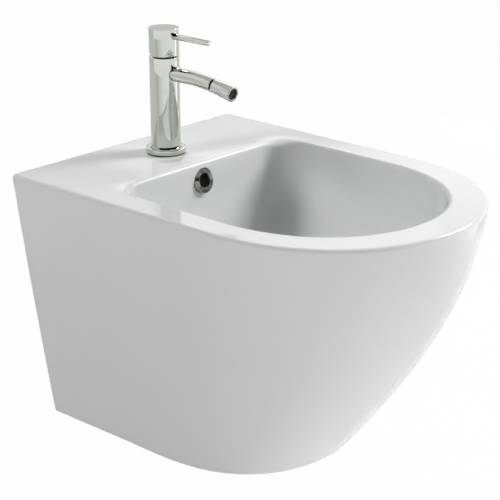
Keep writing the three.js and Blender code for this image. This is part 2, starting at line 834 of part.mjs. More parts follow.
function tubeShape(outer, inner) {
  const shape = new THREE.Shape().absarc(0, 0, outer, 0, 2 * Math.PI);
  shape.holes.push(new THREE.Path().absarc(0, 0, inner, 0, 2 * Math.PI, true));
  return shape;
}

function spout() {
  const root = Math.sqrt(chamberRadius ** 2 - spoutRadius ** 2) + seatGap;
  const tube = new THREE.ExtrudeGeometry(tubeShape(spoutRadius, spoutRadius - spoutWall), {
    extrudePath: new SpoutLine(root),
    steps: cornerSteps + bowlSteps,
    curveSegments: smallSides / 2,
    bevelEnabled: false,
  });
  const chamber = disc(chamberRadius + seatGap, 0, columnTop, columnSides);
  return geometryOf(solid(tube).subtract(solid(chamber)));
}

// Nozzle pieces lie along +Z of a group at the spout's end, which points down the nozzle
const ballCentre = nozzleGap + ballSetback;
const nozzleEnd = nozzleGap + nozzleLength;

function ballStud() {
  const neck = Math.acos(ballStemRadius / ballRadius);
  const nose = Math.acos(ballBoreRadius / ballRadius);
  const profile = [[ballBoreRadius, -ballStemInSpout], [ballStemRadius, -ballStemInSpout]];
  for (let k = 0; k <= ballSteps; k++) {
    const angle = mix(-neck, nose, k / ballSteps);
    profile.push([ballRadius * Math.cos(angle), ballCentre + ballRadius * Math.sin(angle)]);
  }
  profile.push([ballBoreRadius, -ballStemInSpout]);
  return turned(profile, smallSides);
}

// The bush that holds the ball's stem in the end of the spout
function spoutBush() {
  const outer = spoutRadius - spoutWall - seatGap;
  return ring(ballStemRadius + seatGap, outer, -ballStemInSpout, -seatGap, smallSides);
}

function nozzle() {
  const lipEnd = ballCentre - socketLipDepth;
  const aeratorSeat = nozzleEnd - aeratorInset - aeratorLength - seatGap;
  const mouth = aeratorRadius + seatGap;
  return turned([
    [socketLipRadius, nozzleGap],
    [spoutRadius - nozzleEdge, nozzleGap],
    [spoutRadius, nozzleGap + nozzleEdge],
    [nozzleEndRadius, nozzleEnd - nozzleEdge],
    [nozzleEndRadius - nozzleEdge, nozzleEnd],
    [mouth, nozzleEnd],
    [mouth, aeratorSeat],
    [socketRadius - nozzleEdge, aeratorSeat],
    [socketRadius - nozzleEdge, ballCentre + swivelSeatForward + swivelSeatLength + seatGap],
    [socketRadius, ballCentre + swivelSeatForward + swivelSeatLength + seatGap],
    [socketRadius, lipEnd],
    [socketLipRadius, lipEnd],
    [socketLipRadius, nozzleGap],
  ]);
}

function swivelSeal() {
  const inner = ballRadius + seatGap;
  return ring(inner, inner + swivelSealThickness, ballCentre - swivelSealHalfHeight,
    ballCentre + swivelSealHalfHeight, smallSides);
}

function swivelSeat() {
  const low = ballCentre + swivelSeatForward;
  return ring(swivelSeatBore, socketRadius - seatGap, low, low + swivelSeatLength, smallSides);
}

function aerator() {
  const top = nozzleEnd - aeratorInset;
  let insert = solid(disc(aeratorRadius, top - aeratorLength, top));
  for (let k = 0; k < aeratorHoleCount; k++) {
    const angle = 2 * Math.PI * k / aeratorHoleCount;
    const hole = disc(aeratorHoleRadius, top - aeratorLength - overrun, top + overrun, holeSides);
    const place = [aeratorHoleCircle * Math.cos(angle), aeratorHoleCircle * Math.sin(angle), 0];
    insert = insert.subtract(solid(hole.translate(...place)));
  }
  return geometryOf(insert);
}

// Wall fixings lie along -Y, counted from the wall face
const sleeveEnd = rearWall + seatGap + sleeveCollarThickness;
const washerStart = sleeveEnd + seatGap;
const studNutStart = washerStart + studWasherThickness + seatGap;
const studEnd = studNutStart + studNutHeight + studBeyondNut;

function wallStud() {
  return forward(disc(studRadius, -studAnchorLength, studEnd, smallSides));
}

function studSleeve() {
  const bore = studRadius + fitGap;
  return forward(turned([
    [bore, 0],
    [studHoleRadius - fitGap, 0],
    [studHoleRadius - fitGap, rearWall + seatGap],
    [sleeveCollarRadius, rearWall + seatGap],
    [sleeveCollarRadius, sleeveEnd],
    [bore, sleeveEnd],
    [bore, 0],
  ]));
}

function studWasher() {
  const washerEnd = washerStart + studWasherThickness;
  return forward(ring(studRadius + fitGap, studWasherRadius, washerStart, washerEnd));
}

function piece(parent, name, geometry, material) {
  const mesh = new THREE.Mesh(geometry, material);
  mesh.name = name;
  parent.add(mesh);
}

const bidet = new THREE.Group();
piece(bidet, 'bidet_body', bidetBody(), glazed);

const overflow = new THREE.Group();
overflow.position.set(0, -overflowSeat, overflowAxisHeight);
piece(overflow, 'overflow_ring', overflowRing(), chrome);
bidet.add(overflow);

const waste = new THREE.Group();
waste.position.set(0, -wasteSetback, bowlFloorHeight);
piece(waste, 'waste_body', wasteBody(), chrome);
piece(waste, 'waste_seal', wasteSeal(), rubber);
piece(waste, 'waste_cone_washer', wasteConeWasher(), rubber);
piece(waste, 'waste_nut', wasteNut(), brass);
piece(waste, 'click_barrel', clickBarrel(), whitePlastic);
piece(waste, 'waste_plug', wastePlug(), chrome);
piece(waste, 'plug_seal', plugSeal(), rubber);
piece(waste, 'plug_stem', plugStem(), brass);
bidet.add(waste);

const tap = new THREE.Group();
tap.position.set(0, -tapSetback, rimAboveStuds);
piece(tap, 'base_gasket', baseGasket(), rubber);
piece(tap, 'base_ring', baseRing(), chrome);
piece(tap, 'tap_body', tapBody(), chrome);
piece(tap, 'tap_stud', tapStud(), steel);
piece(tap, 'horseshoe_gasket', horseshoe(horseshoeGasketThickness, horseshoeGasketTop), rubber);
piece(tap, 'horseshoe_washer', horseshoe(horseshoeWasherThickness, horseshoeWasherTop), steel);
piece(tap, 'tap_nut', hexNut(tapNutAcrossFlats, tapStudRadius + fitGap, tapNutHeight)
  .translate(0, tapStudBack, tapNutTop - tapNutHeight), brass);
piece(tap, 'cartridge_seal', cartridgeSeal(), rubber);
piece(tap, 'cartridge_body', cartridgeBody(), whitePlastic);
piece(tap, 'cartridge_nut', cartridgeNut(), brass);
piece(tap, 'cartridge_rotor', cartridgeRotor(), darkPlastic);
piece(tap, 'lever_pin', leverPin(), steel);
piece(tap, 'cartridge_spindle', cartridgeSpindle(), steel);
piece(tap, 'handle_cap', handleCap(), chrome);
piece(tap, 'lever_rod', leverRod(), chrome);
piece(tap, 'grub_screw', grubScrew(), steel);
piece(tap, 'spout', spout(), chrome);
bidet.add(tap);

const swivel = new THREE.Group();
swivel.position.set(0, -spoutEndReach, spoutEndHeight);
swivel.rotation.x = quarterTurn + spoutBendAngle;
piece(swivel, 'spout_bush', spoutBush(), brass);
piece(swivel, 'ball_stud', ballStud(), chrome);
piece(swivel, 'swivel_seal', swivelSeal(), rubber);
piece(swivel, 'swivel_seat', swivelSeat(), whitePlastic);
piece(swivel, 'nozzle', nozzle(), chrome);
piece(swivel, 'aerator', aerator(), darkPlastic);
tap.add(swivel);

for (const [name, side] of [['left', -1], ['right', 1]]) {
  const fixing = new THREE.Group();
  fixing.position.x = side * studSpacing / 2;
  piece(fixing, `wall_stud_${name}`, wallStud(), steel);
  piece(fixing, `stud_sleeve_${name}`, studSleeve(), whitePlastic);
  piece(fixing, `stud_washer_${name}`, studWasher(), steel);
  piece(fixing, `stud_nut_${name}`, forward(hexNut(studNutAcrossFlats, studRadius + fitGap, studNutHeight)
    .translate(0, 0, studNutStart)), steel);
  bidet.add(fixing);
}

export default bidet;
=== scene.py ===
"""Wall hung bidet with a one-hole mixer tap: ceramic, chrome, hidden fixings and a plain studio."""
import json
import math
from functools import partialmethod

import bmesh
import bpy
from bpy.props import FloatProperty, FloatVectorProperty, IntProperty, PointerProperty
from mathutils import Matrix, Quaternion, Vector


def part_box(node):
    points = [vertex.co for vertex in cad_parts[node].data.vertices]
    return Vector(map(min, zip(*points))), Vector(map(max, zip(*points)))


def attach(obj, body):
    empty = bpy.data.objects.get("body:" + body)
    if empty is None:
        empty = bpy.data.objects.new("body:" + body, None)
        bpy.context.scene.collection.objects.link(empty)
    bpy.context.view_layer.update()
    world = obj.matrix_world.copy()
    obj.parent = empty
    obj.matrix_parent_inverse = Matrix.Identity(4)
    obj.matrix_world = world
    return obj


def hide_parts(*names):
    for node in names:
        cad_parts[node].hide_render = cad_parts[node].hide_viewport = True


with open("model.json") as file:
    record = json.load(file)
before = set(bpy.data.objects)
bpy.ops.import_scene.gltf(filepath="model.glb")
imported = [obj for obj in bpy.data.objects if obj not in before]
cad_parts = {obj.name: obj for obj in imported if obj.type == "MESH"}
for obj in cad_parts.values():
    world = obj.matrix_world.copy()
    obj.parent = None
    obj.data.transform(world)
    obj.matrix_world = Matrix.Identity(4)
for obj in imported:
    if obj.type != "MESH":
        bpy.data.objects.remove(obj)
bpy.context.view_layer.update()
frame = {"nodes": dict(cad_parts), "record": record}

bl_info = {
    "name": "Wall Hung Bidet",
    "version": (1, 0, 0),
    "blender": (4, 5, 0),
    "location": "View3D > Sidebar > Bidet",
    "description": "Builds a wall hung bidet with its tap around a packed construction model",
    "category": "Object",
}

MM = 0.001

# Places and sizes read from the construction model, in metres
CERAMIC_LOW, CERAMIC_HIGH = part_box("bidet_body")
COLUMN_LOW, COLUMN_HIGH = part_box("tap_body")
CAP_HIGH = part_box("handle_cap")[1]
BASE_LOW, BASE_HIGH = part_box("base_ring")
LEVER_LOW, LEVER_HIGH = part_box("lever_rod")
WASTE_LOW, WASTE_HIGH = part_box("waste_body")
TRIM_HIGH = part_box("overflow_ring")[1]
RIM = CERAMIC_HIGH.z
BODY_HEIGHT = CERAMIC_HIGH.z - CERAMIC_LOW.z
BODY_LENGTH = -CERAMIC_LOW.y
WALL_HALF_WIDTH = CERAMIC_HIGH.x
TAP_Y = (COLUMN_LOW.y + COLUMN_HIGH.y) / 2
WASTE_Y = (WASTE_LOW.y + WASTE_HIGH.y) / 2

# Plan of the ceramic at the rim and at its bottom edge
SIDE_HALF_WIDTH = 175.7 * MM
NOSE_START = 285.8 * MM
NOSE_POWER = 2.289
BOTTOM_WALL_HALF_WIDTH = 133.9 * MM
BOTTOM_SIDE_HALF_WIDTH = 130.7 * MM
BOTTOM_NOSE_START = 125.5 * MM
BOTTOM_LENGTH = 319.3 * MM
BOTTOM_NOSE_POWER = 3.382
SIDE_SWELL_SHARE = -0.119
NOSE_SLOPE_SHARE = 0.103
NOSE_CURVE_SHARE = 1.248
REAR_CORNER = 1.5 * MM
REAR_EDGE = 5 * MM

# Walls and hollow of the ceramic
SKIRT_WALL = 11 * MM
DECK_THICKNESS = 14 * MM
REAR_WALL = 18 * MM
HOLLOW_CORNER = 14 * MM
HOLLOW_LIP = 3 * MM
HOLLOW_FILLET = 6 * MM

# Bowl
BOWL_HALF_WIDTH = 141.7 * MM
BOWL_BACK = 121 * MM
BOWL_CORNER = 40 * MM
BOWL_NOSE_START = 271.4 * MM
BOWL_TIP = 439.7 * MM
BOWL_NOSE_POWER = 2.441
BOWL_EDGE_OUTSIDE_SHARE = 1 / 3
BOWL_DEPTH = 135 * MM
BOWL_PROFILE_POWER = 3.2
BOWL_WALL = 10 * MM
CORNER_FALL_DEPTH = 40 * MM
DUCT_HALF_WIDTH = 17 * MM
DUCT_DEPTH = 12 * MM
DUCT_WALL = 7 * MM
DUCT_FADE = 9 * MM
BOSS_RADIUS = 35 * MM
BOSS_DEPTH = 50 * MM
BOSS_FILLET = 4 * MM
BOSS_EDGE = 1.5 * MM
DUCT_END_SHARE = 0.93
UNDERSIDE_START_SHARE = 0.0054
UNDERSIDE_END_SHARE = 0.86

# Holes in the ceramic
TAP_HOLE_RADIUS = 17.5 * MM
OVERFLOW_HOLE_RADIUS = 11 * MM
OVERFLOW_DEPTH = 23 * MM
WASTE_HOLE_RADIUS = 23 * MM
WASTE_RECESS = 4.6 * MM
STUD_SPACING = 180 * MM
STUD_HOLE_RADIUS = 8.7 * MM
GATE_HALF_WIDTH = 70 * MM
GATE_TOP = 125 * MM
GATE_CORNER = 25 * MM

# Clearances
SEAT_GAP = 0.2 * MM
FIT_GAP = 0.3 * MM
OVERRUN = 20 * MM

# Overflow trim
TRIM_BORE = 8.5 * MM
TRIM_RADIUS = 14.75 * MM
TRIM_FLANGE = 1.3 * MM
TRIM_GROOVES = 3
TRIM_GROOVE = 1.4 * MM
TRIM_LAND = 0.35 * MM
TRIM_RISE = 0.55 * MM
TRIM_SLEEVE = 9.5 * MM
TRIM_SEAT = TRIM_HIGH.y - TRIM_SLEEVE
TRIM_TILT = math.radians(15)
TRIM_SINK = 3.5 * MM

# Waste fitting and plug, with heights counted from the bowl's floor
FLANGE_RADIUS = 33 * MM
FLANGE_THICKNESS = 2.7 * MM
FLANGE_FALL = 0.9 * MM
TUBE_RADIUS = 21 * MM
TUBE_WALL = 2.6 * MM
TUBE_LENGTH = 95 * MM
SLOT_HALF_WIDTH = 7 * MM
SLOT_TOP = 15 * MM
SLOT_HEIGHT = 16 * MM
SPIDER_DEPTH = 40 * MM
SPIDER_THICKNESS = 4 * MM
SPIDER_ARM = 5 * MM
HUB_RADIUS = 6.5 * MM
STEM_RADIUS = 3 * MM
CONE_WASHER = 6 * MM
NUT_RADIUS = 31 * MM
NUT_HEIGHT = 12 * MM
NUT_NOTCHES = 8
NUT_NOTCH_RADIUS = 3 * MM
NOTCH_SIDES = 24
PLUG_RADIUS = 30.5 * MM
PLUG_RIM = 1.6 * MM
PLUG_CROWN = 3 * MM
PLUG_CLEARANCE = 0.8 * MM
PLUG_NECK_RADIUS = 16.5 * MM
PLUG_NECK_DEPTH = 8 * MM
PLUG_SEAL = 2.4 * MM
PLUG_SEAL_INSET = 1.8 * MM

# Tap column and base ring, with heights counted from the rim
COLUMN_RADIUS = 17.75 * MM
CHAMBER_RADIUS = 13.6 * MM
CHAMBER_FLOOR = 80 * MM
PORT_RADIUS = 4.2 * MM
PORT_OFFSET = 7.2 * MM
PORT_FORWARD = 3.5 * MM
PORT_SEAT_RADIUS = 5.4 * MM
PORT_SEAT_DEPTH = 4 * MM
TAP_STUD_BACK = 8 * MM
TAP_STUD_HOLE_RADIUS = 4.2 * MM
TAP_STUD_IN_COLUMN = 12 * MM
TAP_THREAD_PITCH = 1.25 * MM
TAP_THREAD_DEPTH = 0.65 * MM
BASE_BORE = 14.2 * MM
BASE_FLOOR = 2 * MM

# Handle
CAP_LOW_HEIGHT = 116.5 * MM
CAP_WALL = 2.2 * MM
CAP_HEAD = 17 * MM
CAP_RIM = 1 * MM
CAP_BEVEL_ANGLE = math.radians(20)
SPINDLE_HALF_WIDTH = 3 * MM
SPINDLE_HALF_DEPTH = 3.4 * MM
SPINDLE_IN_CAP = 12 * MM
LEVER_RADIUS = 3.4 * MM
LEVER_HEIGHT = 139.6 * MM
LEVER_IN_CAP = 8 * MM
LEVER_TIP = 3 * MM
GRUB_RADIUS = 2.4 * MM
GRUB_KEY = 2.5 * MM
GRUB_KEY_DEPTH = 2.5 * MM

# Spout
SPOUT_RADIUS = 8.2 * MM
SPOUT_WALL = 2 * MM
SPOUT_HEIGHT = 95.75 * MM
SPOUT_STRAIGHT = 42.2 * MM
SPOUT_BEND_RADIUS = 197 * MM
SPOUT_BEND_ANGLE = math.radians(10.2)

# Nozzle, measured along its axis from the spout's end
NOZZLE_GAP = 1.5 * MM
NOZZLE_GAP_MORE = 1.2 * MM
MOUTH_LIP = 1 * MM
MOUTH_LIP_DEPTH = 0.7 * MM
NOZZLE_LENGTH = 29.3 * MM
NOZZLE_END_RADIUS = 8.9 * MM
NOZZLE_STEP = 0.5 * MM
BALL_CENTRE = 7.5 * MM
SOCKET_RADIUS = 6.8 * MM
SOCKET_LIP_RADIUS = 4.5 * MM
SOCKET_LIP_DEPTH = 3 * MM
SEAT_FORWARD = 3.9 * MM
SEAT_LENGTH = 2.6 * MM
AERATOR_RADIUS = 7.2 * MM
AERATOR_LENGTH = 8 * MM
AERATOR_INSET = 1.2 * MM
AERATOR_RIM_RADIUS = 6.6 * MM
AERATOR_DISH = 0.5 * MM
AERATOR_RINGS = ((3, 0.9 * MM), (9, 2.6 * MM), (14, 4.2 * MM), (19, 5.7 * MM))
NIB_RADIUS = 0.5 * MM
NIB_HEIGHT = 0.7 * MM
NIB_TAPER = 0.6
NIB_SUNK = 0.05 * MM
NIB_TURN = 0.2

# Studio
FLOOR_HALF_WIDTH = 6
FLOOR_COLOUR = (0.82, 0.82, 0.82, 1)
SENSOR_WIDTH = 36
CLIP_END = 100

# Fineness of the ceramic's skin, of turned pieces and of round cuts
REAR_POINTS = 14
CORNER_POINTS = 12
SIDE_POINTS = 16
NOSE_POINTS = 64
SIDE_RINGS = 44
BOWL_RINGS = 44
HOLLOW_RINGS = 20
ROLL_RINGS = 9
LIP_RINGS = 4
DUCT_STEPS = 24
DOME_STEPS = 16
SPOUT_STEPS = 48
HOLE_SIDES = 96
SPOUT_SIDES = 96
AERATOR_SIDES = 64
NUT_HOLE_SIDES = 48
ROD_SIDES = 24
NIB_SIDES = 12
DECK_SHARES = (0.02, 0.05, 0.08, 0.12, 0.16, 0.2, 0.25, 0.3, 0.36, 0.42, 0.5, 0.98)
THREAD_RINGS = 8

# Hexagon nuts: slope of their turned corners, share of the flats left as a face, and sink of the bore's ends
NUT_CHAMFER_SLOPE = 0.6
NUT_FACE_SHARE = 0.96
NUT_SINK = 0.4 * MM

# Smoothing and merging of meshes
SMOOTH_ANGLE = math.radians(32)
CERAMIC_SMOOTH_ANGLE = math.radians(38)
THREAD_SMOOTH_ANGLE = math.radians(50)
MERGE_DISTANCE = 1e-7
SEAM_DISTANCE = 1e-6

# Finishes: where the bare biscuit starts and is full, counted forwards from the wall, how far a mask darkens
# each kind of finish and changes its roughness, and how deep its relief is
BISCUIT_START = 1.4 * MM
BISCUIT_FULL = 0.4 * MM
BISCUIT_ROUGHNESS = 0.75
GLAZE_IOR = 1.52
GLAZE_TONE = 0.985
METAL_TONE = 0.93
MOULDED_TONE = 0.85
SMUDGE_ROUGHNESS = 0.05
CLOUD_ROUGHNESS = 0.08
POLISH_DEPTH = 0.02 * MM
GRAIN_DEPTH = 0.1 * MM

# Kinds of sockets, and the inputs that all turning trees share
INT, FLOAT, VECTOR = "NodeSocketInt", "NodeSocketFloat", "NodeSocketVector"
GEOMETRY, MATERIAL = "NodeSocketGeometry", "NodeSocketMaterial"
TURNING_INPUTS = {"Sides": 64, "Edge": 0.0005, "Edge Steps": 4}

# Turns a piece that points up so that it points forwards
FORWARD = Matrix.Rotation(math.pi / 2, 4, "X")

# The material of each of the record's slots
FINISH_NAMES = {
    "glazed_ceramic": "Glazed China",
    "chrome": "Chrome Plate",
    "brass": "Turned Brass",
    "dark_brass": "Blackened Brass",
    "dark_chrome": "Smoked Chrome",
    "steel": "Zinc Plated Steel",
    "rubber": "Black Rubber",
    "white_plastic": "White Plastic",
    "dark_plastic": "Dark Plastic",
}
# Solids painted darker than their kind of metal as painted shade, because they show only as the black of a
# shaded gap
GAP_SHADE_FINISHES = {"cartridge_nut": "dark_brass", "spout_bush": "dark_brass"}

# Lamps: name of the setting with the power, angle round the object, angle above the level and turn about the
# beam in degrees, distance, width and height, and whether mirrors see the lamp
LAMPS = (
    ("key", 63, 38, 0, 1.8, (0.8, 0.6), False),
    ("glint", 63, 38, -52, 1.6, (0.68, 0.22), True),
    ("left", -118, 36, 0, 1.8, (0.6, 0.5), False),
    ("rear", 162, 60, 0, 1.8, (0.6, 0.5), False),
    ("corner", 113, 5, 0, 1.8, (0.45, 0.8), False),
    ("low", -21, 3, 0, 1.5, (0.9, 0.12), False),
    ("edge", 44, 11, 0, 1.5, (0.5, 0.12), False),
)
LAMP_AIM = Vector((0, -0.22, 0))
# Cards that only mirrors see: name, the angles round the tap and the angles above the level between which it
# stands, in degrees, its distance, and its brightness at both ends of its lower and of its upper edge
CARDS = (
    ("card_ceiling", (-180, 180), (48, 90), 3.4, (0.5, 0.5, 0.8, 0.8)),
    ("card_front", (-98, 66), (11.5, 48), 3.2, (0.0, 0.0, 0.0, 0.0)),
    ("card_front_left", (-128, -98), (8, 48), 3.2, (0.75, 0.75, 0.75, 0.75)),
    ("card_right_rear", (66, 118), (-8, 48), 3.2, (0.8, 1.2, 0.8, 1.2)),
    ("card_under_fade", (118, 136), (-8, 14), 3.2, (0.95, 0.85, 0.95, 0.85)),
    ("card_fade", (118, 136), (14, 34), 3.2, (0.95, 0.85, 2.9, 2.0)),
    ("card_rear", (136, 232), (15, 48), 3.2, (0.88, 0.88, 0.88, 0.88)),
    ("card_rear_low", (118, 232), (-8, 15), 3.1, (0.68, 0.68, 0.68, 0.68)),
    ("card_rear_left", (-190, -110), (-24, -4), 1.05, (0.70, 0.70, 0.70, 0.70)),
    ("card_left", (-110, -96), (-24, -4), 1.05, (0.58, 0.58, 0.58, 0.58)),
    ("card_near_left", (-96, -52), (-24, -4), 1.05, (0.68, 0.97, 0.68, 0.97)),
    ("card_near", (-52, 46), (-24, -4), 1.05, (0.97, 1.06, 0.97, 1.06)),
    ("card_strip", (46, 62), (-24, -4), 1.05, (1.5, 1.5, 1.5, 1.5)),
    ("card_right", (62, 100), (-24, -4), 1.05, (0.6, 0.9, 0.6, 0.9)),
)
CARD_CENTRE = Vector((0, -0.07, 0.13))
CARD_STEP = 4  # degrees


def mix(a, b, share):
    """The value that lies a share of the way from a to b."""
    return a + (b - a) * share


def between(a, b, share):
    """The point that lies a share of the way from a to b."""
    return tuple(mix(p, q, share) for p, q in zip(a, b))


def bearing(turn, tilt):
    """The direction at an angle round the object, counted from its front, and at an angle above the level."""
    return Vector((math.sin(turn) * math.cos(tilt), -math.cos(turn) * math.cos(tilt), math.sin(tilt)))


# Settings

def number(name, description, default, kind):
    """A number among the settings, of one of the kinds below."""
    return FloatProperty(name=name, description=description, default=default, **kind)


def colour(name, description, default):
    """A colour among the settings."""
    return FloatVectorProperty(name=name, description=description, default=default, size=3,
                               subtype="COLOR", min=0, max=1)


LENGTH = {"unit": "LENGTH"}
SHARE = {"min": 0, "max": 1}
POWER = {"min": 0}
ANGLE = {"subtype": "ANGLE"}


class CeramicSettings(bpy.types.PropertyGroup):
    """Sizes and glaze of the ceramic."""

    rim_edge: number("Rim Edge", "Radius of the rim's outer edge", 4.5 * MM, LENGTH)
    bowl_edge: number("Bowl Edge", "Radius of the roll from the rim into the bowl", 6 * MM, LENGTH)
    corner_fall: number("Corner Fall", "How far the deck falls to the bowl's rear corners", 3 * MM, LENGTH)
    corner_reach: number("Corner Reach", "How far from the corners that fall begins", 16 * MM, LENGTH)
    bottom_edge: number("Bottom Edge", "Radius of the bottom edge", 5 * MM, LENGTH)
    glaze_colour: colour("Glaze Colour", "Colour of the glazed china", (0.785, 0.793, 0.788))
    glaze_roughness: number("Glaze Roughness", "Roughness of the glaze", 0.025, SHARE)
    biscuit_colour: colour("Biscuit Colour", "Colour of the unglazed rear face", (0.66, 0.63, 0.58))


class TapSettings(bpy.types.PropertyGroup):
    """Edges, fineness and finish of the tap and the other metal pieces."""

    edge: number("Edge", "Radius of the broken edges of turned pieces", 0.5 * MM, LENGTH)
    edge_steps: IntProperty(name="Edge Steps", description="Points on each broken edge", default=4, min=1)
    sides: IntProperty(name="Sides", description="Sides of the turned pieces", default=128, min=12)
    chrome_colour: colour("Chrome Colour", "Colour of the chrome plate", (0.65, 0.665, 0.625))
    chrome_roughness: number("Chrome Roughness", "Roughness of the chrome plate", 0.04, SHARE)
    thread_pitch: number("Thread Pitch", "Pitch of the wall studs' thread", 1.75 * MM, LENGTH)
    thread_depth: number("Thread Depth", "Depth of the wall studs' thread", 0.9 * MM, LENGTH)


class StageSettings(bpy.types.PropertyGroup):
    """Floor, light and camera."""

    floor_drop: number("Floor Drop", "Height of the wall studs above the floor", 0.32, LENGTH)
    shadow: number("Shadow", "How much of the floor's own shading is seen", 0.02, SHARE)
    ambient: number("Ambient", "Strength of the even light from all sides", 0.0, POWER)
    key: number("Key", "Power of the lamp at the right", 16.2, POWER)
    glint: number("Glint", "Power of the small lamp that the edges mirror", 10, POWER)
    left: number("Left", "Power of the lamp at the rear left", 13, POWER)
    rear: number("Rear", "Power of the lamp high behind the object", 6.2, POWER)
    corner: number("Corner", "Power of the small lamp level with the rim", 3.0, POWER)
    low: number("Low", "Power of the lamp near the floor", 6.8, POWER)
    edge: number("Edge", "Power of the lamp beside the far right edge", 1.2, POWER)
    azimuth: number("Azimuth", "Camera's angle round the object", math.radians(-48.07), ANGLE)
    elevation: number("Elevation", "Camera's angle above the horizon", math.radians(20.29), ANGLE)
    place: FloatVectorProperty(name="Place", description="Camera's place", size=3, subtype="XYZ",
                               unit="LENGTH", default=(-1.161901, -1.241408, 0.566719))
    lens: number("Lens", "Focal length in millimetres on a 36 mm sensor", 104.94, POWER)


# Nodes

def feed(tree, made, inputs):
    """Links or sets a node's inputs, given by name or number; None leaves an input as it is."""
    for key, value in inputs.items():
        if isinstance(value, Reckon):
            value = value.socket
        if isinstance(value, bpy.types.NodeSocket):
            tree.links.new(value, made.inputs[key])
        elif value is not None:
            made.inputs[key].default_value = value


def node(tree, kind, place=(0, 0), inputs=None, **settings):
    """A new node of a tree, with its settings by name and its inputs as feed takes them."""
    made = tree.nodes.new(kind)
    made.location = place
    for name, value in settings.items():
        setattr(made, name, value)
    feed(tree, made, inputs or {})
    return made


def math_node(tree, operation, place, first, second):
    """The result of a math node fed by sockets or numbers."""
    return node(tree, "ShaderNodeMath", place, {0: first, 1: second}, operation=operation).outputs[0]


def node_group(name, kind, inputs, outputs):
    """A new tree and its input sockets; inputs are numbers or kinds by name, outputs are kinds by name."""
    tree = bpy.data.node_groups.new(name, kind)
    for label, value in inputs.items():
        number = INT if isinstance(value, int) else FLOAT
        plain = isinstance(value, str)
        socket = tree.interface.new_socket(label, in_out="INPUT", socket_type=value if plain else number)
        if not plain:
            socket.default_value = value
    for label, value in outputs.items():
        tree.interface.new_socket(label, in_out="OUTPUT", socket_type=value)
    return tree, node(tree, "NodeGroupInput", (-700, 0)).outputs


# Materials

def surface_wave_group():
    """Slow waves and fine pores of a fired or moulded surface: a height, and a cloudy mask."""
    tree, source = node_group(
        "Surface Waves", "ShaderNodeTree",
        {"Vector": VECTOR, "Wave Scale": 9.0, "Pore Scale": 900.0, "Pore Share": 0.1},
        {"Height": FLOAT, "Mask": FLOAT},
    )
    waves, pores = (
        node(tree, "ShaderNodeTexNoise", (-450, y),
             {"Vector": source["Vector"], "Scale": source[scale], "Detail": detail}).outputs["Fac"]
        for y, scale, detail in ((150, "Wave Scale", 1.0), (-150, "Pore Scale", 2.0))
    )
    fine = math_node(tree, "MULTIPLY", (-220, -120), pores, source["Pore Share"])
    height = math_node(tree, "ADD", (0, 60), waves, fine)
    node(tree, "NodeGroupOutput", (250, 0), {"Height": height, "Mask": waves})
    return tree


def handling_group():
    """Faint smudges left by hands and cleaning: a mask that is 0 on clean metal."""
    tree, source = node_group("Handling Marks", "ShaderNodeTree",
                              {"Vector": VECTOR, "Scale": 60.0, "Amount": 0.5}, {"Mask": FLOAT})
    clouds = node(tree, "ShaderNodeTexNoise", (-450, 120),
                  {"Vector": source["Vector"], "Scale": source["Scale"], "Detail": 4.0})
    patches = node(tree, "ShaderNodeMapRange", (-200, 120),
                   {"Value": clouds.outputs["Fac"], "From Min": 0.48, "From Max": 0.72},
                   interpolation_type="SMOOTHSTEP")
    mask = math_node(tree, "MULTIPLY", (50, 60), patches.outputs["Result"], source["Amount"])
    node(tree, "NodeGroupOutput", (280, 0), {"Mask": mask})
    return tree


def start_material(slot, colour, roughness, waves, surface, bump, metallic=0.0):
    """A slot's material with a fine relief; returns its tree, shader, coordinates and the relief's mask.

    The surface is the scale of the waves, the scale of the pores and their share, and the bump is its
    strength and its depth.
    """
    material = bpy.data.materials.new(FINISH_NAMES[slot])
    material.use_nodes = True
    tree = material.node_tree
    coordinates = node(tree, "ShaderNodeTexCoord", (-1100, 0)).outputs["Object"]
    inputs = dict(zip(("Vector", "Wave Scale", "Pore Scale", "Pore Share"), (coordinates, *surface)))
    relief = node(tree, "ShaderNodeGroup", (-850, 200), inputs, node_tree=waves)
    normal = node(tree, "ShaderNodeBump", (-250, -350),
                  {"Height": relief.outputs["Height"], "Strength": bump[0], "Distance": bump[1]})
    shader = tree.nodes["Principled BSDF"]
    feed(tree, shader, {"Base Color": (*colour, 1), "Roughness": roughness, "Metallic": metallic,
                        "Normal": normal.outputs["Normal"]})
    return tree, shader, coordinates, relief.outputs["Mask"]


def mixed_colour(tree, place, first, second, mask):
    """One colour that turns into another where a mask says so."""
    inputs = {"A": first, "B": second, "Factor": mask}
    return node(tree, "ShaderNodeMix", place, inputs, data_type="RGBA").outputs["Result"]


def toned(tree, colour, share, mask):
    """A colour that a mask darkens down to a share of it."""
    return mixed_colour(tree, (-450, 250), (*colour, 1), (*[c * share for c in colour], 1), mask)


def vary_roughness(tree, shader, mask, low, high):
    """Drives the shader's roughness between two values by a mask."""
    ramp = node(tree, "ShaderNodeMapRange", (-250, -100), {"Value": mask, "To Min": low, "To Max": high})
    feed(tree, shader, {"Roughness": ramp.outputs["Result"]})


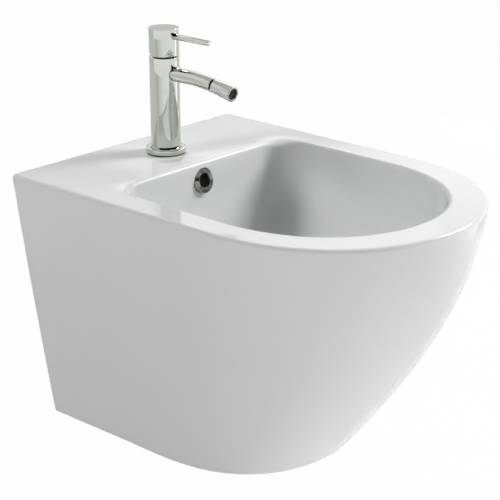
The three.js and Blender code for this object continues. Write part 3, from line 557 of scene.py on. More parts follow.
def glaze_material(settings, waves):
    """Glossy white glaze, bare matte biscuit on the face that stands against the wall."""
    colour, roughness = tuple(settings.glaze_colour), settings.glaze_roughness
    tree, shader, coordinates, clouds = start_material("glazed_ceramic", colour, roughness, waves,
                                                       (7.0, 700.0, 0.02), (0.15, 0.4 * MM))
    parts = node(tree, "ShaderNodeSeparateXYZ", (-850, -200), {0: coordinates})
    bare = node(tree, "ShaderNodeMapRange", (-650, -200),
                {"Value": parts.outputs["Y"], "From Min": -BISCUIT_START, "From Max": -BISCUIT_FULL},
                interpolation_type="SMOOTHSTEP").outputs["Result"]
    glaze = toned(tree, colour, GLAZE_TONE, clouds)
    paint = mixed_colour(tree, (-250, 150), glaze, (*settings.biscuit_colour, 1), bare)
    feed(tree, shader, {"IOR": GLAZE_IOR, "Base Color": paint})
    vary_roughness(tree, shader, bare, roughness, BISCUIT_ROUGHNESS)


def metal_material(slot, colour, roughness, groups, wave_scale=30.0, pore_share=0.02, depth=POLISH_DEPTH):
    """A metal with faint waves from polishing or rolling and smudges in its gloss."""
    tree, shader, coordinates, _ = start_material(slot, colour, roughness, groups["waves"],
                                                  (wave_scale, 1400.0, pore_share), (0.3, depth), 1.0)
    inputs = {"Vector": coordinates, "Scale": 55.0, "Amount": 0.5}
    marks = node(tree, "ShaderNodeGroup", (-850, -150), inputs, node_tree=groups["handling"]).outputs["Mask"]
    vary_roughness(tree, shader, marks, roughness, roughness + SMUDGE_ROUGHNESS)
    feed(tree, shader, {"Base Color": toned(tree, colour, METAL_TONE, marks)})


def moulded_material(slot, colour, roughness, groups):
    """Moulded plastic or rubber with a fine grain and a cloudy tone."""
    tree, shader, _, clouds = start_material(slot, colour, roughness, groups["waves"],
                                             (40.0, 1600.0, 0.6), (0.3, GRAIN_DEPTH))
    vary_roughness(tree, shader, clouds, roughness - CLOUD_ROUGHNESS, roughness + CLOUD_ROUGHNESS)
    feed(tree, shader, {"Base Color": toned(tree, colour, MOULDED_TONE, clouds)})


def make_finishes():
    """Makes all materials."""
    tap = bpy.context.scene.bidet_tap
    groups = {"waves": surface_wave_group(), "handling": handling_group()}
    glaze_material(bpy.context.scene.bidet_ceramic, groups["waves"])
    metal_material("chrome", tuple(tap.chrome_colour), tap.chrome_roughness, groups)
    # Darker chrome, given to the overflow ring as painted shade
    metal_material("dark_chrome", (0.37, 0.375, 0.36), tap.chrome_roughness, groups)
    metal_material("brass", (0.62, 0.43, 0.17), 0.32, groups, 80.0, 0.4, GRAIN_DEPTH)
    # Near black brass; the solids in the tap's gaps are given it as painted shade
    metal_material("dark_brass", (0.03, 0.028, 0.024), 0.4, groups, 80.0, 0.4, GRAIN_DEPTH)
    metal_material("steel", (0.50, 0.51, 0.52), 0.34, groups, 90.0, 0.5, GRAIN_DEPTH)
    moulded_material("rubber", (0.022, 0.022, 0.024), 0.72, groups)
    moulded_material("white_plastic", (0.68, 0.68, 0.64), 0.45, groups)
    moulded_material("dark_plastic", (0.030, 0.031, 0.034), 0.42, groups)


def finishes():
    """All materials by the record's slot names, made once."""
    if FINISH_NAMES["chrome"] not in bpy.data.materials:
        make_finishes()
    return {slot: bpy.data.materials[name] for slot, name in FINISH_NAMES.items()}


# Mesh making

def new_object(name, data):
    """A new object of the scene."""
    made = bpy.data.objects.new(name, data)
    bpy.context.scene.collection.objects.link(made)
    return made


def mesh_object(name, points, faces):
    """A new object at the origin from points and faces."""
    mesh = bpy.data.meshes.new(name)
    mesh.from_pydata([tuple(p) for p in points], [], faces)
    mesh.update()
    face_outwards(mesh)
    return new_object(name, mesh)


def face_outwards(mesh):
    """Merges doubles, turns faces outwards and shades them smooth."""
    work = bmesh.new()
    work.from_mesh(mesh)
    bmesh.ops.remove_doubles(work, verts=work.verts, dist=MERGE_DISTANCE)
    bmesh.ops.dissolve_degenerate(work, dist=MERGE_DISTANCE, edges=work.edges)
    bmesh.ops.recalc_face_normals(work, faces=work.faces)
    for face in work.faces:
        face.smooth = True
    work.to_mesh(mesh)
    work.free()


def bake(piece, place=Matrix.Identity(4)):
    """Turns a piece's modifiers into plain mesh and moves the mesh to its place; returns the piece."""
    bpy.context.view_layer.update()
    mesh = bpy.data.meshes.new_from_object(piece.evaluated_get(bpy.context.evaluated_depsgraph_get()))
    piece.modifiers.clear()
    mesh.transform(place)
    face_outwards(mesh)
    piece.data = mesh
    return piece


def finish_piece(piece, body, finish, nodes, smooth_angle=SMOOTH_ANGLE, look=None):
    """Smooths a plain mesh, gives it its finish and hands it to its body in place of construction solids."""
    piece.data.name = piece.name
    piece.data.set_sharp_from_angle(angle=smooth_angle)
    piece.data.materials.clear()
    piece.data.materials.append(finishes()[look or finish])
    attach(piece, body)
    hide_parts(*nodes)


def skin(rings, first_centre, last_centre):
    """Points and faces of a closed skin through rings of equal count, with a fan at each end."""
    count = len(rings[0])
    points = [p for ring in rings for p in ring] + [first_centre, last_centre]
    turns = [(k, (k + 1) % count) for k in range(count)]
    last_row = (len(rings) - 1) * count
    faces = [(row + a, row + b, row + b + count, row + a + count)
             for row in range(0, last_row, count) for a, b in turns]
    first, last = len(points) - 2, len(points) - 1
    for a, b in turns:
        faces += [(first, b, a), (last, last_row + a, last_row + b)]
    return points, faces


def prism(outline, axis, low, high, name="cutter"):
    """A straight prism along an axis, from an outline in the other two axes."""
    def place(a, b, c):
        return {"X": (c, a, b), "Y": (a, c, b), "Z": (a, b, c)}[axis]
    count = len(outline)
    points = [place(a, b, c) for c in (low, high) for a, b in outline]
    faces = [(k, (k + 1) % count, count + (k + 1) % count, count + k) for k in range(count)]
    return mesh_object(name, points, faces + [tuple(range(count)), tuple(range(count, 2 * count))])


def circle(centre, radius, sides):
    """Points of a circle in the plane."""
    turns = [2 * math.pi * k / sides for k in range(sides)]
    return [(centre[0] + radius * math.cos(a), centre[1] + radius * math.sin(a)) for a in turns]


def bore(centre, radius, axis, low, high, sides=HOLE_SIDES):
    """A round prism, for a hole along an axis."""
    return prism(circle(centre, radius, sides), axis, low, high)


def rectangle(low, high):
    """The corners of a rectangle between two of them."""
    return [low, (high[0], low[1]), high, (low[0], high[1])]


def combine(piece, others, operation="DIFFERENCE"):
    """Cuts closed shapes out of a piece, joins them to it or keeps what they share, and throws them away."""
    for other in others:
        modifier = piece.modifiers.new("Combine", "BOOLEAN")
        modifier.operation = operation
        modifier.solver = "MANIFOLD"
        modifier.object = other
    bake(piece)
    if not piece.data.polygons:
        raise RuntimeError(f"nothing is left of {piece.name}")
    for other in others:
        bpy.data.objects.remove(other)


# Geometry node trees

class Reckon:
    """A number in a geometry node tree that can be reckoned with as in plain Python."""

    def __init__(self, tree, socket):
        self.tree = tree
        self.socket = socket

    def math(self, operation, other=None):
        """One math node with this number first."""
        return Reckon(self.tree, math_node(self.tree, operation, (0, 0), self, other))

    __add__ = partialmethod(math, "ADD")
    __sub__ = partialmethod(math, "SUBTRACT")
    __mul__ = partialmethod(math, "MULTIPLY")
    __truediv__ = partialmethod(math, "DIVIDE")


def geometry_tree(name, inputs):
    """A geometry node tree with named numbers as inputs; returns it, its input sockets and its numbers."""
    tree, source = node_group(name, "GeometryNodeTree",
                              {"Geometry": GEOMETRY, **inputs, "Material": MATERIAL}, {"Geometry": GEOMETRY})
    return tree, source, {label: Reckon(tree, source[label]) for label in inputs}


def end_tree(tree, source, geometry):
    """Ends a tree in Realize Instances and Set Material."""
    realize = node(tree, "GeometryNodeRealizeInstances", inputs={"Geometry": geometry})
    paint = node(tree, "GeometryNodeSetMaterial",
                 inputs={"Geometry": realize.outputs["Geometry"], "Material": source["Material"]})
    node(tree, "NodeGroupOutput", inputs={"Geometry": paint.outputs["Geometry"]})
    return tree


def use_tree(piece, maker, values):
    """Adds a tree, made once and used again, to a piece with the values of its named inputs."""
    tree = bpy.data.node_groups.get(TREE_NAMES[maker]) or maker(TREE_NAMES[maker])
    modifier = piece.modifiers.new(tree.name, "NODES")
    modifier.node_group = tree
    for item in tree.interface.items_tree:
        if item.item_type == "SOCKET" and item.in_out == "INPUT" and item.name in values:
            modifier[item.identifier] = values[item.name]


def position_parts(tree):
    """The position's three numbers."""
    position = node(tree, "GeometryNodeInputPosition").outputs["Position"]
    return [Reckon(tree, part) for part in node(tree, "ShaderNodeSeparateXYZ", inputs={0: position}).outputs]


def joined(tree, **parts):
    """A vector from its parts by name, with 0 for those not given."""
    return node(tree, "ShaderNodeCombineXYZ", inputs=parts).outputs[0]


def set_position(tree, geometry, x, y, z):
    """Moves a geometry's points to places reckoned from numbers."""
    inputs = {"Geometry": geometry, "Position": joined(tree, X=x, Y=y, Z=z)}
    return node(tree, "GeometryNodeSetPosition", inputs=inputs).outputs["Geometry"]


def turning_nodes(tree, source, numbers):
    """Turns a profile in the XZ plane about the Z axis, with its corners rounded; returns the mesh."""
    path = node(tree, "GeometryNodeMeshToCurve", inputs={"Mesh": source["Geometry"]})
    corner = node(tree, "GeometryNodeInputNamedAttribute", inputs={"Name": "corner"}, data_type="FLOAT")
    radius = Reckon(tree, corner.outputs["Attribute"]) * numbers["Edge"]
    fillet = node(tree, "GeometryNodeFilletCurve", mode="POLY", inputs={
        "Curve": path.outputs["Curve"], "Radius": radius, "Count": numbers["Edge Steps"],
        "Limit Radius": True})
    x, _, z = position_parts(tree)
    profile = set_position(tree, fillet.outputs["Curve"], x - 1.0, z * -1.0, 0.0)
    wheel = node(tree, "GeometryNodeCurvePrimitiveCircle",
                 inputs={"Radius": 1.0, "Resolution": numbers["Sides"]})
    sweep = node(tree, "GeometryNodeCurveToMesh",
                 inputs={"Curve": wheel.outputs["Curve"], "Profile Curve": profile})
    merge = node(tree, "GeometryNodeMergeByDistance",
                 inputs={"Geometry": sweep.outputs["Mesh"], "Distance": SEAM_DISTANCE})
    return merge.outputs["Geometry"]


def turned_tree(name):
    """A piece turned on a lathe."""
    tree, source, numbers = geometry_tree(name, TURNING_INPUTS)
    return end_tree(tree, source, turning_nodes(tree, source, numbers))


def bent_tube_tree(name):
    """A turned piece whose length along Z runs straight forwards and then bends downwards on a wide arc."""
    tree, source, numbers = geometry_tree(name, {**TURNING_INPUTS, "Straight": 0.04, "Bend Radius": 0.2})
    straight, bend = numbers["Straight"], numbers["Bend Radius"]
    mesh = turning_nodes(tree, source, numbers)
    x, y, z = position_parts(tree)
    angle = ((z - straight) / bend).math("MAXIMUM", 0.0)
    reach = z.math("MINIMUM", straight) + (bend + y) * angle.math("SINE")
    lift = (bend + y) * angle.math("COSINE") - bend
    return end_tree(tree, source, set_position(tree, mesh, x, reach * -1.0, lift))


def threaded_tree(name):
    """A rod along Z whose surface carries a helical thread."""
    tree, source, numbers = geometry_tree(name, {
        "Radius": 0.006, "Length": 0.1, "Pitch": 0.00175, "Depth": 0.0009, "Plain End": 0.001,
        "Sides": 24, "Rings": 200})
    radius, length, depth = numbers["Radius"], numbers["Length"], numbers["Depth"]
    rod = node(tree, "GeometryNodeMeshCylinder", inputs={
        "Vertices": numbers["Sides"], "Side Segments": numbers["Rings"], "Radius": radius, "Depth": length})
    x, y, z = position_parts(tree)
    turn = y.math("ARCTAN2", x) / (2 * math.pi)
    wave = (z / numbers["Pitch"] - turn).math("PINGPONG", 0.5)
    end = (length * 0.5 - z.math("ABSOLUTE")) / numbers["Plain End"]
    chamfer = (end * -1.0 + 1.0).math("MAXIMUM", 0.0)
    worn = (wave * 2.0 * depth).math("MAXIMUM", chamfer * depth)
    scale = (radius - worn) / radius
    return end_tree(tree, source, set_position(tree, rod.outputs["Mesh"], x * scale, y * scale, z))


def rose_tree(name):
    """Small blunt nibs in a ring round the Z axis, added to the face of a water outlet."""
    tree, source, numbers = geometry_tree(name, {
        "Ring Radius": 0.003, "Count": 6, "Nib Radius": 0.0006, "Nib Height": 0.0005,
        "Level": 0.0, "Turn": 0.0})
    wheel = node(tree, "GeometryNodeMeshCircle",
                 inputs={"Vertices": numbers["Count"], "Radius": numbers["Ring Radius"]})
    nib = node(tree, "GeometryNodeMeshCone", inputs={
        "Vertices": NIB_SIDES, "Radius Top": numbers["Nib Radius"] * NIB_TAPER,
        "Radius Bottom": numbers["Nib Radius"], "Depth": numbers["Nib Height"]})
    scatter = node(tree, "GeometryNodeInstanceOnPoints",
                   inputs={"Points": wheel.outputs["Mesh"], "Instance": nib.outputs["Mesh"]})
    spin = node(tree, "GeometryNodeTransform", inputs={
        "Geometry": scatter.outputs["Instances"], "Rotation": joined(tree, Z=numbers["Turn"]),
        "Translation": joined(tree, Z=numbers["Level"])})
    join = node(tree, "GeometryNodeJoinGeometry")
    for geometry in (spin.outputs["Geometry"], source["Geometry"]):
        tree.links.new(geometry, join.inputs["Geometry"])
    return end_tree(tree, source, join.outputs["Geometry"])


TREE_NAMES = {
    turned_tree: "Turned Piece",
    bent_tube_tree: "Bent Tube",
    threaded_tree: "Threaded Rod",
    rose_tree: "Outlet Rose",
}


def profile_object(name, profile, closed):
    """A profile of (radius, height, corner) as an edge loop in the XZ plane."""
    mesh = bpy.data.meshes.new(name)
    count = len(profile)
    edges = [(k, (k + 1) % count) for k in range(count if closed else count - 1)]
    mesh.from_pydata([(radius, 0, height) for radius, height, _ in profile], edges, [])
    corners = mesh.attributes.new("corner", "FLOAT", "POINT")
    corners.data.foreach_set("value", [corner for _, _, corner in profile])
    return new_object(name, mesh)


def lathe(name, profile, finish, closed=True, sides=None, maker=turned_tree, **extra):
    """A piece from a profile through one of the turning trees, still with its modifier."""
    settings = bpy.context.scene.bidet_tap
    piece = profile_object(name, profile, closed)
    use_tree(piece, maker, {"Sides": sides or settings.sides, "Edge": settings.edge,
                            "Edge Steps": settings.edge_steps, "Material": finishes()[finish], **extra})
    return piece


def turned_piece(name, body, finish, solid, place, profile, joins=(), cuts=(), look=None, **options):
    """A turned piece all the way from its profile to its body, with shapes joined to it or cut out of it."""
    piece = bake(lathe(name, profile, look or finish, **options), place)
    if joins:
        combine(piece, joins, "UNION")
    if cuts:
        combine(piece, cuts)
    finish_piece(piece, body, finish, [solid], look=look)


def threaded_rod(name, solid, radius, length, pitch, depth, place):
    """A threaded rod along Z, put in its place and finished."""
    rod = profile_object(name, [(0, 0, 0)], False)
    use_tree(rod, threaded_tree, {
        "Radius": radius, "Length": length, "Pitch": pitch, "Depth": depth, "Plain End": pitch,
        "Sides": ROD_SIDES, "Rings": int(length / pitch * THREAD_RINGS), "Material": finishes()["steel"]})
    bake(rod, place)
    finish_piece(rod, "root", "steel", [solid], smooth_angle=THREAD_SMOOTH_ANGLE)


def nut_piece(name, solid, corner_radius, hole_radius, height, finish, place):
    """A hexagon nut with its corners turned off at both ends, put in its place and finished."""
    nut = prism(circle((0, 0), corner_radius, 6), "Z", 0, height, name)
    flat = corner_radius * math.cos(math.pi / 6)
    fall = (corner_radius - flat) * NUT_CHAMFER_SLOPE
    face, wide = flat * NUT_FACE_SHARE, hole_radius + NUT_SINK + OVERRUN
    low, high = -OVERRUN, height + OVERRUN
    barrel = [(0, 0), (face, 0), (corner_radius, fall),
              (corner_radius, height - fall), (face, height), (0, height)]
    hole = [(0, low), (wide, low), (hole_radius, NUT_SINK),
            (hole_radius, height - NUT_SINK), (wide, high), (0, high)]
    for outline, sides, operation in ((barrel, None, "INTERSECT"), (hole, NUT_HOLE_SIDES, "DIFFERENCE")):
        shape = lathe("cutter", [(*point, 0) for point in outline], finish, closed=False, sides=sides)
        combine(nut, [bake(shape)], operation)
    bake(nut, place)
    finish_piece(nut, "root", finish, [solid])


def tap_place(height=0.0):
    """A place on the tap's axis, counted from the rim."""
    return Matrix.Translation((0, TAP_Y, RIM + height))


def nozzle_place():
    """The place of the spout's end, with +Z pointing down the nozzle."""
    reach = SPOUT_STRAIGHT + SPOUT_BEND_RADIUS * math.sin(SPOUT_BEND_ANGLE)
    drop = SPOUT_BEND_RADIUS * (1 - math.cos(SPOUT_BEND_ANGLE))
    turn = Matrix.Rotation(math.pi / 2 + SPOUT_BEND_ANGLE, 4, "X")
    return Matrix.Translation((0, TAP_Y - reach, RIM + SPOUT_HEIGHT - drop)) @ turn


# Ceramic

def nose_half(half_width, start, tip, power):
    """Half of a nose curve, from the side to the tip."""
    angles = [math.pi / 2 * (k / NOSE_POINTS) ** (power / 2) for k in range(NOSE_POINTS)]
    side = [(half_width * math.cos(a), mix(start, tip, math.sin(a) ** (2 / power))) for a in angles]
    return side + [(0.0, tip)]


def half_plan(wall_half, side_half, back, corner, start, tip, power):
    """Half of a plan as (x, reach from the wall), from the middle of the back to the tip of the nose."""
    def side_x(reach):
        return mix(wall_half, side_half, reach / start)
    inner_x = side_x(back + corner) - corner
    rear = [(inner_x * k / REAR_POINTS, back) for k in range(REAR_POINTS)]
    turn = [(inner_x + corner * math.sin(a), back + corner * (1 - math.cos(a)))
            for a in quarter(CORNER_POINTS)[:-1]]
    reaches = [mix(back + corner, start, k / SIDE_POINTS) for k in range(SIDE_POINTS)]
    side = [(side_x(reach), reach) for reach in reaches]
    return rear + turn + side + nose_half(side_half, start, tip, power)


def whole_ring(half, depth):
    """A ring at a depth below the rim, from half a plan and its mirror image."""
    other = [(-x, reach) for x, reach in reversed(half[1:-1])]
    return [(x, -reach, RIM - depth) for x, reach in half + other]


def body_half(depth, side_inset, nose_inset, back, corner):
    """Half of the ceramic's plan at a depth below the rim."""
    share = min(depth / BODY_HEIGHT, 1.0)
    draw = share + SIDE_SWELL_SHARE * share * (1 - share)
    bend_share = 1 - NOSE_SLOPE_SHARE - NOSE_CURVE_SHARE
    nose_draw = NOSE_SLOPE_SHARE * share + NOSE_CURVE_SHARE * share ** 2 + bend_share * share ** 3
    wall_half = mix(WALL_HALF_WIDTH, BOTTOM_WALL_HALF_WIDTH, draw) - side_inset
    side_half = mix(SIDE_HALF_WIDTH, BOTTOM_SIDE_HALF_WIDTH, draw) - side_inset
    start = mix(NOSE_START, BOTTOM_NOSE_START, share)
    tip = mix(BODY_LENGTH, BOTTOM_LENGTH, nose_draw) - nose_inset
    power = mix(NOSE_POWER, BOTTOM_NOSE_POWER, share)
    return half_plan(wall_half, side_half, back, corner, start, tip, power)


def nose_lean(depth):
    """How far a wall of unit thickness reaches along the nose at a depth."""
    share = depth / BODY_HEIGHT
    bend_share = 1 - NOSE_SLOPE_SHARE - NOSE_CURVE_SHARE
    slope_share = NOSE_SLOPE_SHARE + 2 * NOSE_CURVE_SHARE * share + 3 * bend_share * share ** 2
    return math.hypot(1, (BODY_LENGTH - BOTTOM_LENGTH) * slope_share / BODY_HEIGHT)


def outer_ring(depth, inset):
    """A ring of the ceramic's outside, drawn in by an inset on its rolled edges."""
    return whole_ring(body_half(depth, inset, inset, inset * REAR_CORNER / REAR_EDGE, REAR_CORNER), depth)


def hollow_ring(depth, grow=0.0):
    """A ring of the hollow under the deck."""
    wall = SKIRT_WALL - grow
    return whole_ring(
        body_half(depth, wall, wall * nose_lean(depth), REAR_WALL - grow, HOLLOW_CORNER), depth)


def bowl_half(grow, width_share):
    """Half of the bowl's plan, grown outwards and drawn in towards the waste."""
    half_width = BOWL_HALF_WIDTH + grow
    half = half_plan(half_width, half_width, BOWL_BACK - grow, BOWL_CORNER + grow, BOWL_NOSE_START,
                     BOWL_TIP + grow, BOWL_NOSE_POWER)
    centre = -WASTE_Y
    return [(x * width_share, centre + (reach - centre) * width_share) for x, reach in half]


def bowl_ring(thickness, start, step_share):
    """A ring of the bowl's inside, or with a thickness of its outside, from a starting depth to the floor."""
    angle = math.pi / 2 * step_share
    depth_share = math.sin(angle) ** (2 / BOWL_PROFILE_POWER)
    width_share = math.cos(angle) ** (2 / BOWL_PROFILE_POWER)
    depth = mix(start, BOWL_DEPTH + thickness, depth_share)
    roll = bpy.context.scene.bidet_ceramic.bowl_edge
    grow = thickness - roll * (1 - BOWL_EDGE_OUTSIDE_SHARE)
    return whole_ring(bowl_half(grow, width_share), depth)


def outside_share(x, y):
    """How far the overflow duct swells the bowl's outside at a place, from 0 to 1."""
    if y < WASTE_Y:
        return 0.0
    share = (DUCT_HALF_WIDTH + DUCT_WALL + DUCT_FADE / 2 - abs(x)) / DUCT_FADE
    share = min(max(share, 0.0), 1.0)
    return share * share * (3 - 2 * share)


def bowl_outside_ring(step_share):
    """A ring of the bowl's outside, swollen at the back where the overflow duct runs down."""
    plain = bowl_ring(BOWL_WALL, DECK_THICKNESS / 2, step_share)
    swollen = bowl_ring(BOWL_WALL + DUCT_DEPTH + DUCT_WALL, DECK_THICKNESS / 2, step_share)
    return [between(a, b, outside_share(*a[:2])) for a, b in zip(plain, swollen)]


def waste_ring(directions, radius, depth=None):
    """A circle round the waste: level at a depth below the rim, or lying on the bowl's underside."""
    places = [(d.x * radius, WASTE_Y + d.y * radius) for d in directions]
    if depth is None:
        floor = BOWL_DEPTH + BOWL_WALL
        return [(x, y, RIM - floor - outside_share(x, y) * (DUCT_DEPTH + DUCT_WALL)) for x, y in places]
    return [(x, y, RIM - depth) for x, y in places]


def quarter(steps, first=0):
    """Angles of a quarter turn, in equal steps."""
    return [math.pi / 2 * k / steps for k in range(first, steps + 1)]


def rounding(radius, steps, first=0):
    """How far a rounded edge has come from its first face, and how far it still is from its second."""
    return [(radius * (1 - math.cos(a)), radius * (1 - math.sin(a))) for a in quarter(steps, first)]


def bowl_and_deck_rings(settings):
    """Rings from the bowl's floor up its wall, over its rolled edge and across the flat deck."""
    edge = settings.bowl_edge
    rings = [bowl_ring(0, edge, k / BOWL_RINGS) for k in range(BOWL_RINGS - 1, -1, -1)]
    lip = edge * BOWL_EDGE_OUTSIDE_SHARE
    for angle in reversed(quarter(ROLL_RINGS)[:-1]):
        rings.append(whole_ring(bowl_half(lip - edge * math.sin(angle), 1), edge * (1 - math.cos(angle))))
    inner, outer = rings[-1], outer_ring(0, settings.rim_edge)
    rings += [[between(a, b, share) for a, b in zip(inner, outer)] for share in DECK_SHARES]
    return [[(x, y, z - corner_fall(x, y, z, settings)) for x, y, z in ring] for ring in rings]


def corner_fall(x, y, z, settings):
    """How far the deck falls softly towards the bowl's rear corners at a point near its surface."""
    across = abs(x) - (BOWL_HALF_WIDTH - BOWL_CORNER)
    back = y + BOWL_BACK + BOWL_CORNER
    outside = math.hypot(across, back) - BOWL_CORNER
    reach = settings.corner_reach
    if across <= 0 or back <= 0 or outside >= reach:
        return 0.0
    turn = math.sin(2 * math.atan2(back, across)) ** 2
    near = min(1.0, (reach - outside) / reach) ** 2
    shallow = max(0.0, 1 - (RIM - z) / CORNER_FALL_DEPTH)
    return settings.corner_fall * turn * near * shallow


def outside_rings(settings):
    """Rings over the rim's outer edge, down the sides and round the bottom edge."""
    rim, bottom = settings.rim_edge, settings.bottom_edge
    rings = [outer_ring(depth, inset) for depth, inset in rounding(rim, ROLL_RINGS)[:-1]]
    rings += [outer_ring(mix(rim, BODY_HEIGHT - bottom, k / SIDE_RINGS), 0) for k in range(SIDE_RINGS + 1)]
    return rings + [outer_ring(BODY_HEIGHT - rise, inset) for inset, rise in rounding(bottom, ROLL_RINGS, 1)]


def hollow_rings():
    """Rings round the lip of the hollow, up its walls and under the deck."""
    low, high = BODY_HEIGHT - HOLLOW_LIP, DECK_THICKNESS + HOLLOW_FILLET
    rings = [hollow_ring(BODY_HEIGHT - rise, grow) for rise, grow in rounding(HOLLOW_LIP, LIP_RINGS)]
    rings += [hollow_ring(mix(low, high, k / HOLLOW_RINGS)) for k in range(1, HOLLOW_RINGS + 1)]
    return rings + [hollow_ring(DECK_THICKNESS + drop, -inset)
                    for inset, drop in rounding(HOLLOW_FILLET, LIP_RINGS, 1)]


def underside_rings():
    """Rings down the bowl's outside and the boss round the waste."""
    rings = [bowl_outside_ring(mix(UNDERSIDE_START_SHARE, UNDERSIDE_END_SHARE, k / BOWL_RINGS))
             for k in range(BOWL_RINGS + 1)]
    rings[0] = [(x, y, RIM - DECK_THICKNESS) for x, y, _ in rings[0]]
    centre = Vector((0, WASTE_Y))
    directions = [(Vector(p[:2]) - centre).normalized() for p in rings[-1]]
    for drop, grow in rounding(BOSS_FILLET, LIP_RINGS):
        rings.append([(x, y, z - drop) for x, y, z in waste_ring(directions, BOSS_RADIUS + grow)])
    foot = BOWL_DEPTH + BOSS_DEPTH
    return rings + [waste_ring(directions, BOSS_RADIUS - inset, foot - rise)
                    for inset, rise in rounding(BOSS_EDGE, LIP_RINGS)]


def duct_outline():
    """Side view of the overflow duct, which follows the bowl's back down to the waste hole."""
    def side(thickness):
        places = [bowl_ring(thickness, DECK_THICKNESS / 2, DUCT_END_SHARE * k / DUCT_STEPS)[0]
                  for k in range(DUCT_STEPS + 1)]
        return [(y, min(z, RIM - OVERFLOW_DEPTH + OVERFLOW_HOLE_RADIUS)) for _, y, z in places]
    return side(BOWL_WALL + DUCT_DEPTH) + side(BOWL_WALL)[::-1]


def gate_outline():
    """The opening for the pipes, seen from the wall, as (x, z)."""
    x, z = GATE_HALF_WIDTH - GATE_CORNER, RIM - GATE_TOP - GATE_CORNER
    points = [(GATE_HALF_WIDTH, CERAMIC_LOW.z - OVERRUN)]
    points += [(x + GATE_CORNER * math.cos(a), z + GATE_CORNER * math.sin(a)) for a in quarter(CORNER_POINTS)]
    return points + [(-x, z) for x, z in reversed(points)]


def trim_place():
    """Where the overflow ring sits: on the bowl's rear wall, facing up a little."""
    return Matrix.Translation((0, TRIM_SEAT, RIM - OVERFLOW_DEPTH)) @ Matrix.Rotation(-TRIM_TILT, 4, "X")


def tilted(cutter):
    """Turns a shape made along Y to face as the overflow ring does."""
    cutter.data.transform(trim_place() @ Matrix.Translation((0, -TRIM_SEAT, OVERFLOW_DEPTH - RIM)))
    return cutter


def ceramic_cutters():
    """Shapes of all holes through the ceramic."""
    floor, trim, waste = RIM - BOWL_DEPTH, (0, RIM - OVERFLOW_DEPTH), (0, WASTE_Y)
    behind = TRIM_SEAT + BOWL_WALL + DUCT_DEPTH / 2
    return [
        bore((0, TAP_Y), TAP_HOLE_RADIUS, "Z", RIM - DECK_THICKNESS - OVERRUN, RIM + OVERRUN),
        tilted(bore(trim, OVERFLOW_HOLE_RADIUS, "Y", TRIM_SEAT - OVERRUN, behind)),
        tilted(bore(trim, TRIM_RADIUS + FIT_GAP, "Y", TRIM_SEAT - OVERRUN, TRIM_SEAT + TRIM_SINK)),
        prism(duct_outline(), "X", -DUCT_HALF_WIDTH, DUCT_HALF_WIDTH),
        bore(waste, WASTE_HOLE_RADIUS, "Z", floor - BOSS_DEPTH - OVERRUN, floor + OVERRUN),
        bore(waste, FLANGE_RADIUS + FIT_GAP, "Z", floor - WASTE_RECESS, floor + OVERRUN),
        prism(gate_outline(), "Y", -REAR_WALL - HOLLOW_CORNER, OVERRUN),
        *[bore((x, 0), STUD_HOLE_RADIUS, "Y", -REAR_WALL - OVERRUN, OVERRUN)
          for x in (-STUD_SPACING / 2, STUD_SPACING / 2)],
    ]


# Stage

def white_to_camera(tree, x, y):
    """The light paths that see a plain white ground: straight looks, mirrors and glass."""
    path = node(tree, "ShaderNodeLightPath", (x, y)).outputs
    seen = math_node(tree, "MAXIMUM", (x + 200, y), path["Is Camera Ray"], path["Is Glossy Ray"])
    return math_node(tree, "MAXIMUM", (x + 400, y), seen, path["Is Transmission Ray"])


def paint_stage(piece, name):
    """Gives a piece of the stage a new material; returns its tree, still empty."""
    material = bpy.data.materials.new(name)
    material.use_nodes = True
    material.node_tree.nodes.clear()
    piece.data.materials.append(material)
    return material.node_tree


def make_floor(settings):
    """A wide pale floor that keeps a soft shadow and looks white."""
    half, z = FLOOR_HALF_WIDTH, -settings.floor_drop
    corners = [(x, y, z) for x, y in rectangle((-half, -half), (half, half))]
    floor = mesh_object("floor", corners, [(0, 1, 2, 3)])
    tree = paint_stage(floor, "floor_white")
    cloth = node(tree, "ShaderNodeBsdfDiffuse", (-200, 100), {"Color": FLOOR_COLOUR})
    light = node(tree, "ShaderNodeEmission", (-200, -100))
    share = math_node(tree, "MULTIPLY", (-200, 300), white_to_camera(tree, -900, 200), 1 - settings.shadow)
    both = node(tree, "ShaderNodeMixShader", (50, 0), {0: share, 1: cloth.outputs[0], 2: light.outputs[0]})
    node(tree, "ShaderNodeOutputMaterial", (300, 0), {"Surface": both.outputs[0]})


def make_sky(scene, settings):
    """Even light from all sides that looks white in the picture and in mirrors."""
    scene.world = bpy.data.worlds.new("studio")
    scene.world.use_nodes = True
    tree = scene.world.node_tree
    strength = node(tree, "ShaderNodeMapRange", (-250, 0),
                    {"Value": white_to_camera(tree, -900, 0), "To Min": settings.ambient, "To Max": 1.0})
    feed(tree, tree.nodes["Background"], {"Color": (1, 1, 1, 1), "Strength": strength.outputs["Result"]})


def facing(way):
    """The turn of a lamp or camera that stands in a direction and looks back."""
    return (-way).to_track_quat("-Z", "Y")


def make_lamp(name, azimuth, elevation, roll, distance, size, mirrored, power):
    """A soft rectangular lamp that stands round the object and faces it."""
    light = bpy.data.lights.new(f"lamp_{name}", "AREA")
    light.shape = "RECTANGLE"
    light.size, light.size_y = size
    light.energy = power
    way = bearing(math.radians(azimuth), math.radians(elevation))
    lamp = new_object(f"lamp_{name}", light)
    lamp.location = LAMP_AIM + distance * way
    lamp.rotation_mode = "QUATERNION"
    lamp.rotation_quaternion = facing(way) @ Quaternion((0, 0, 1), math.radians(roll))
    lamp.visible_camera = False
    lamp.visible_glossy = mirrored


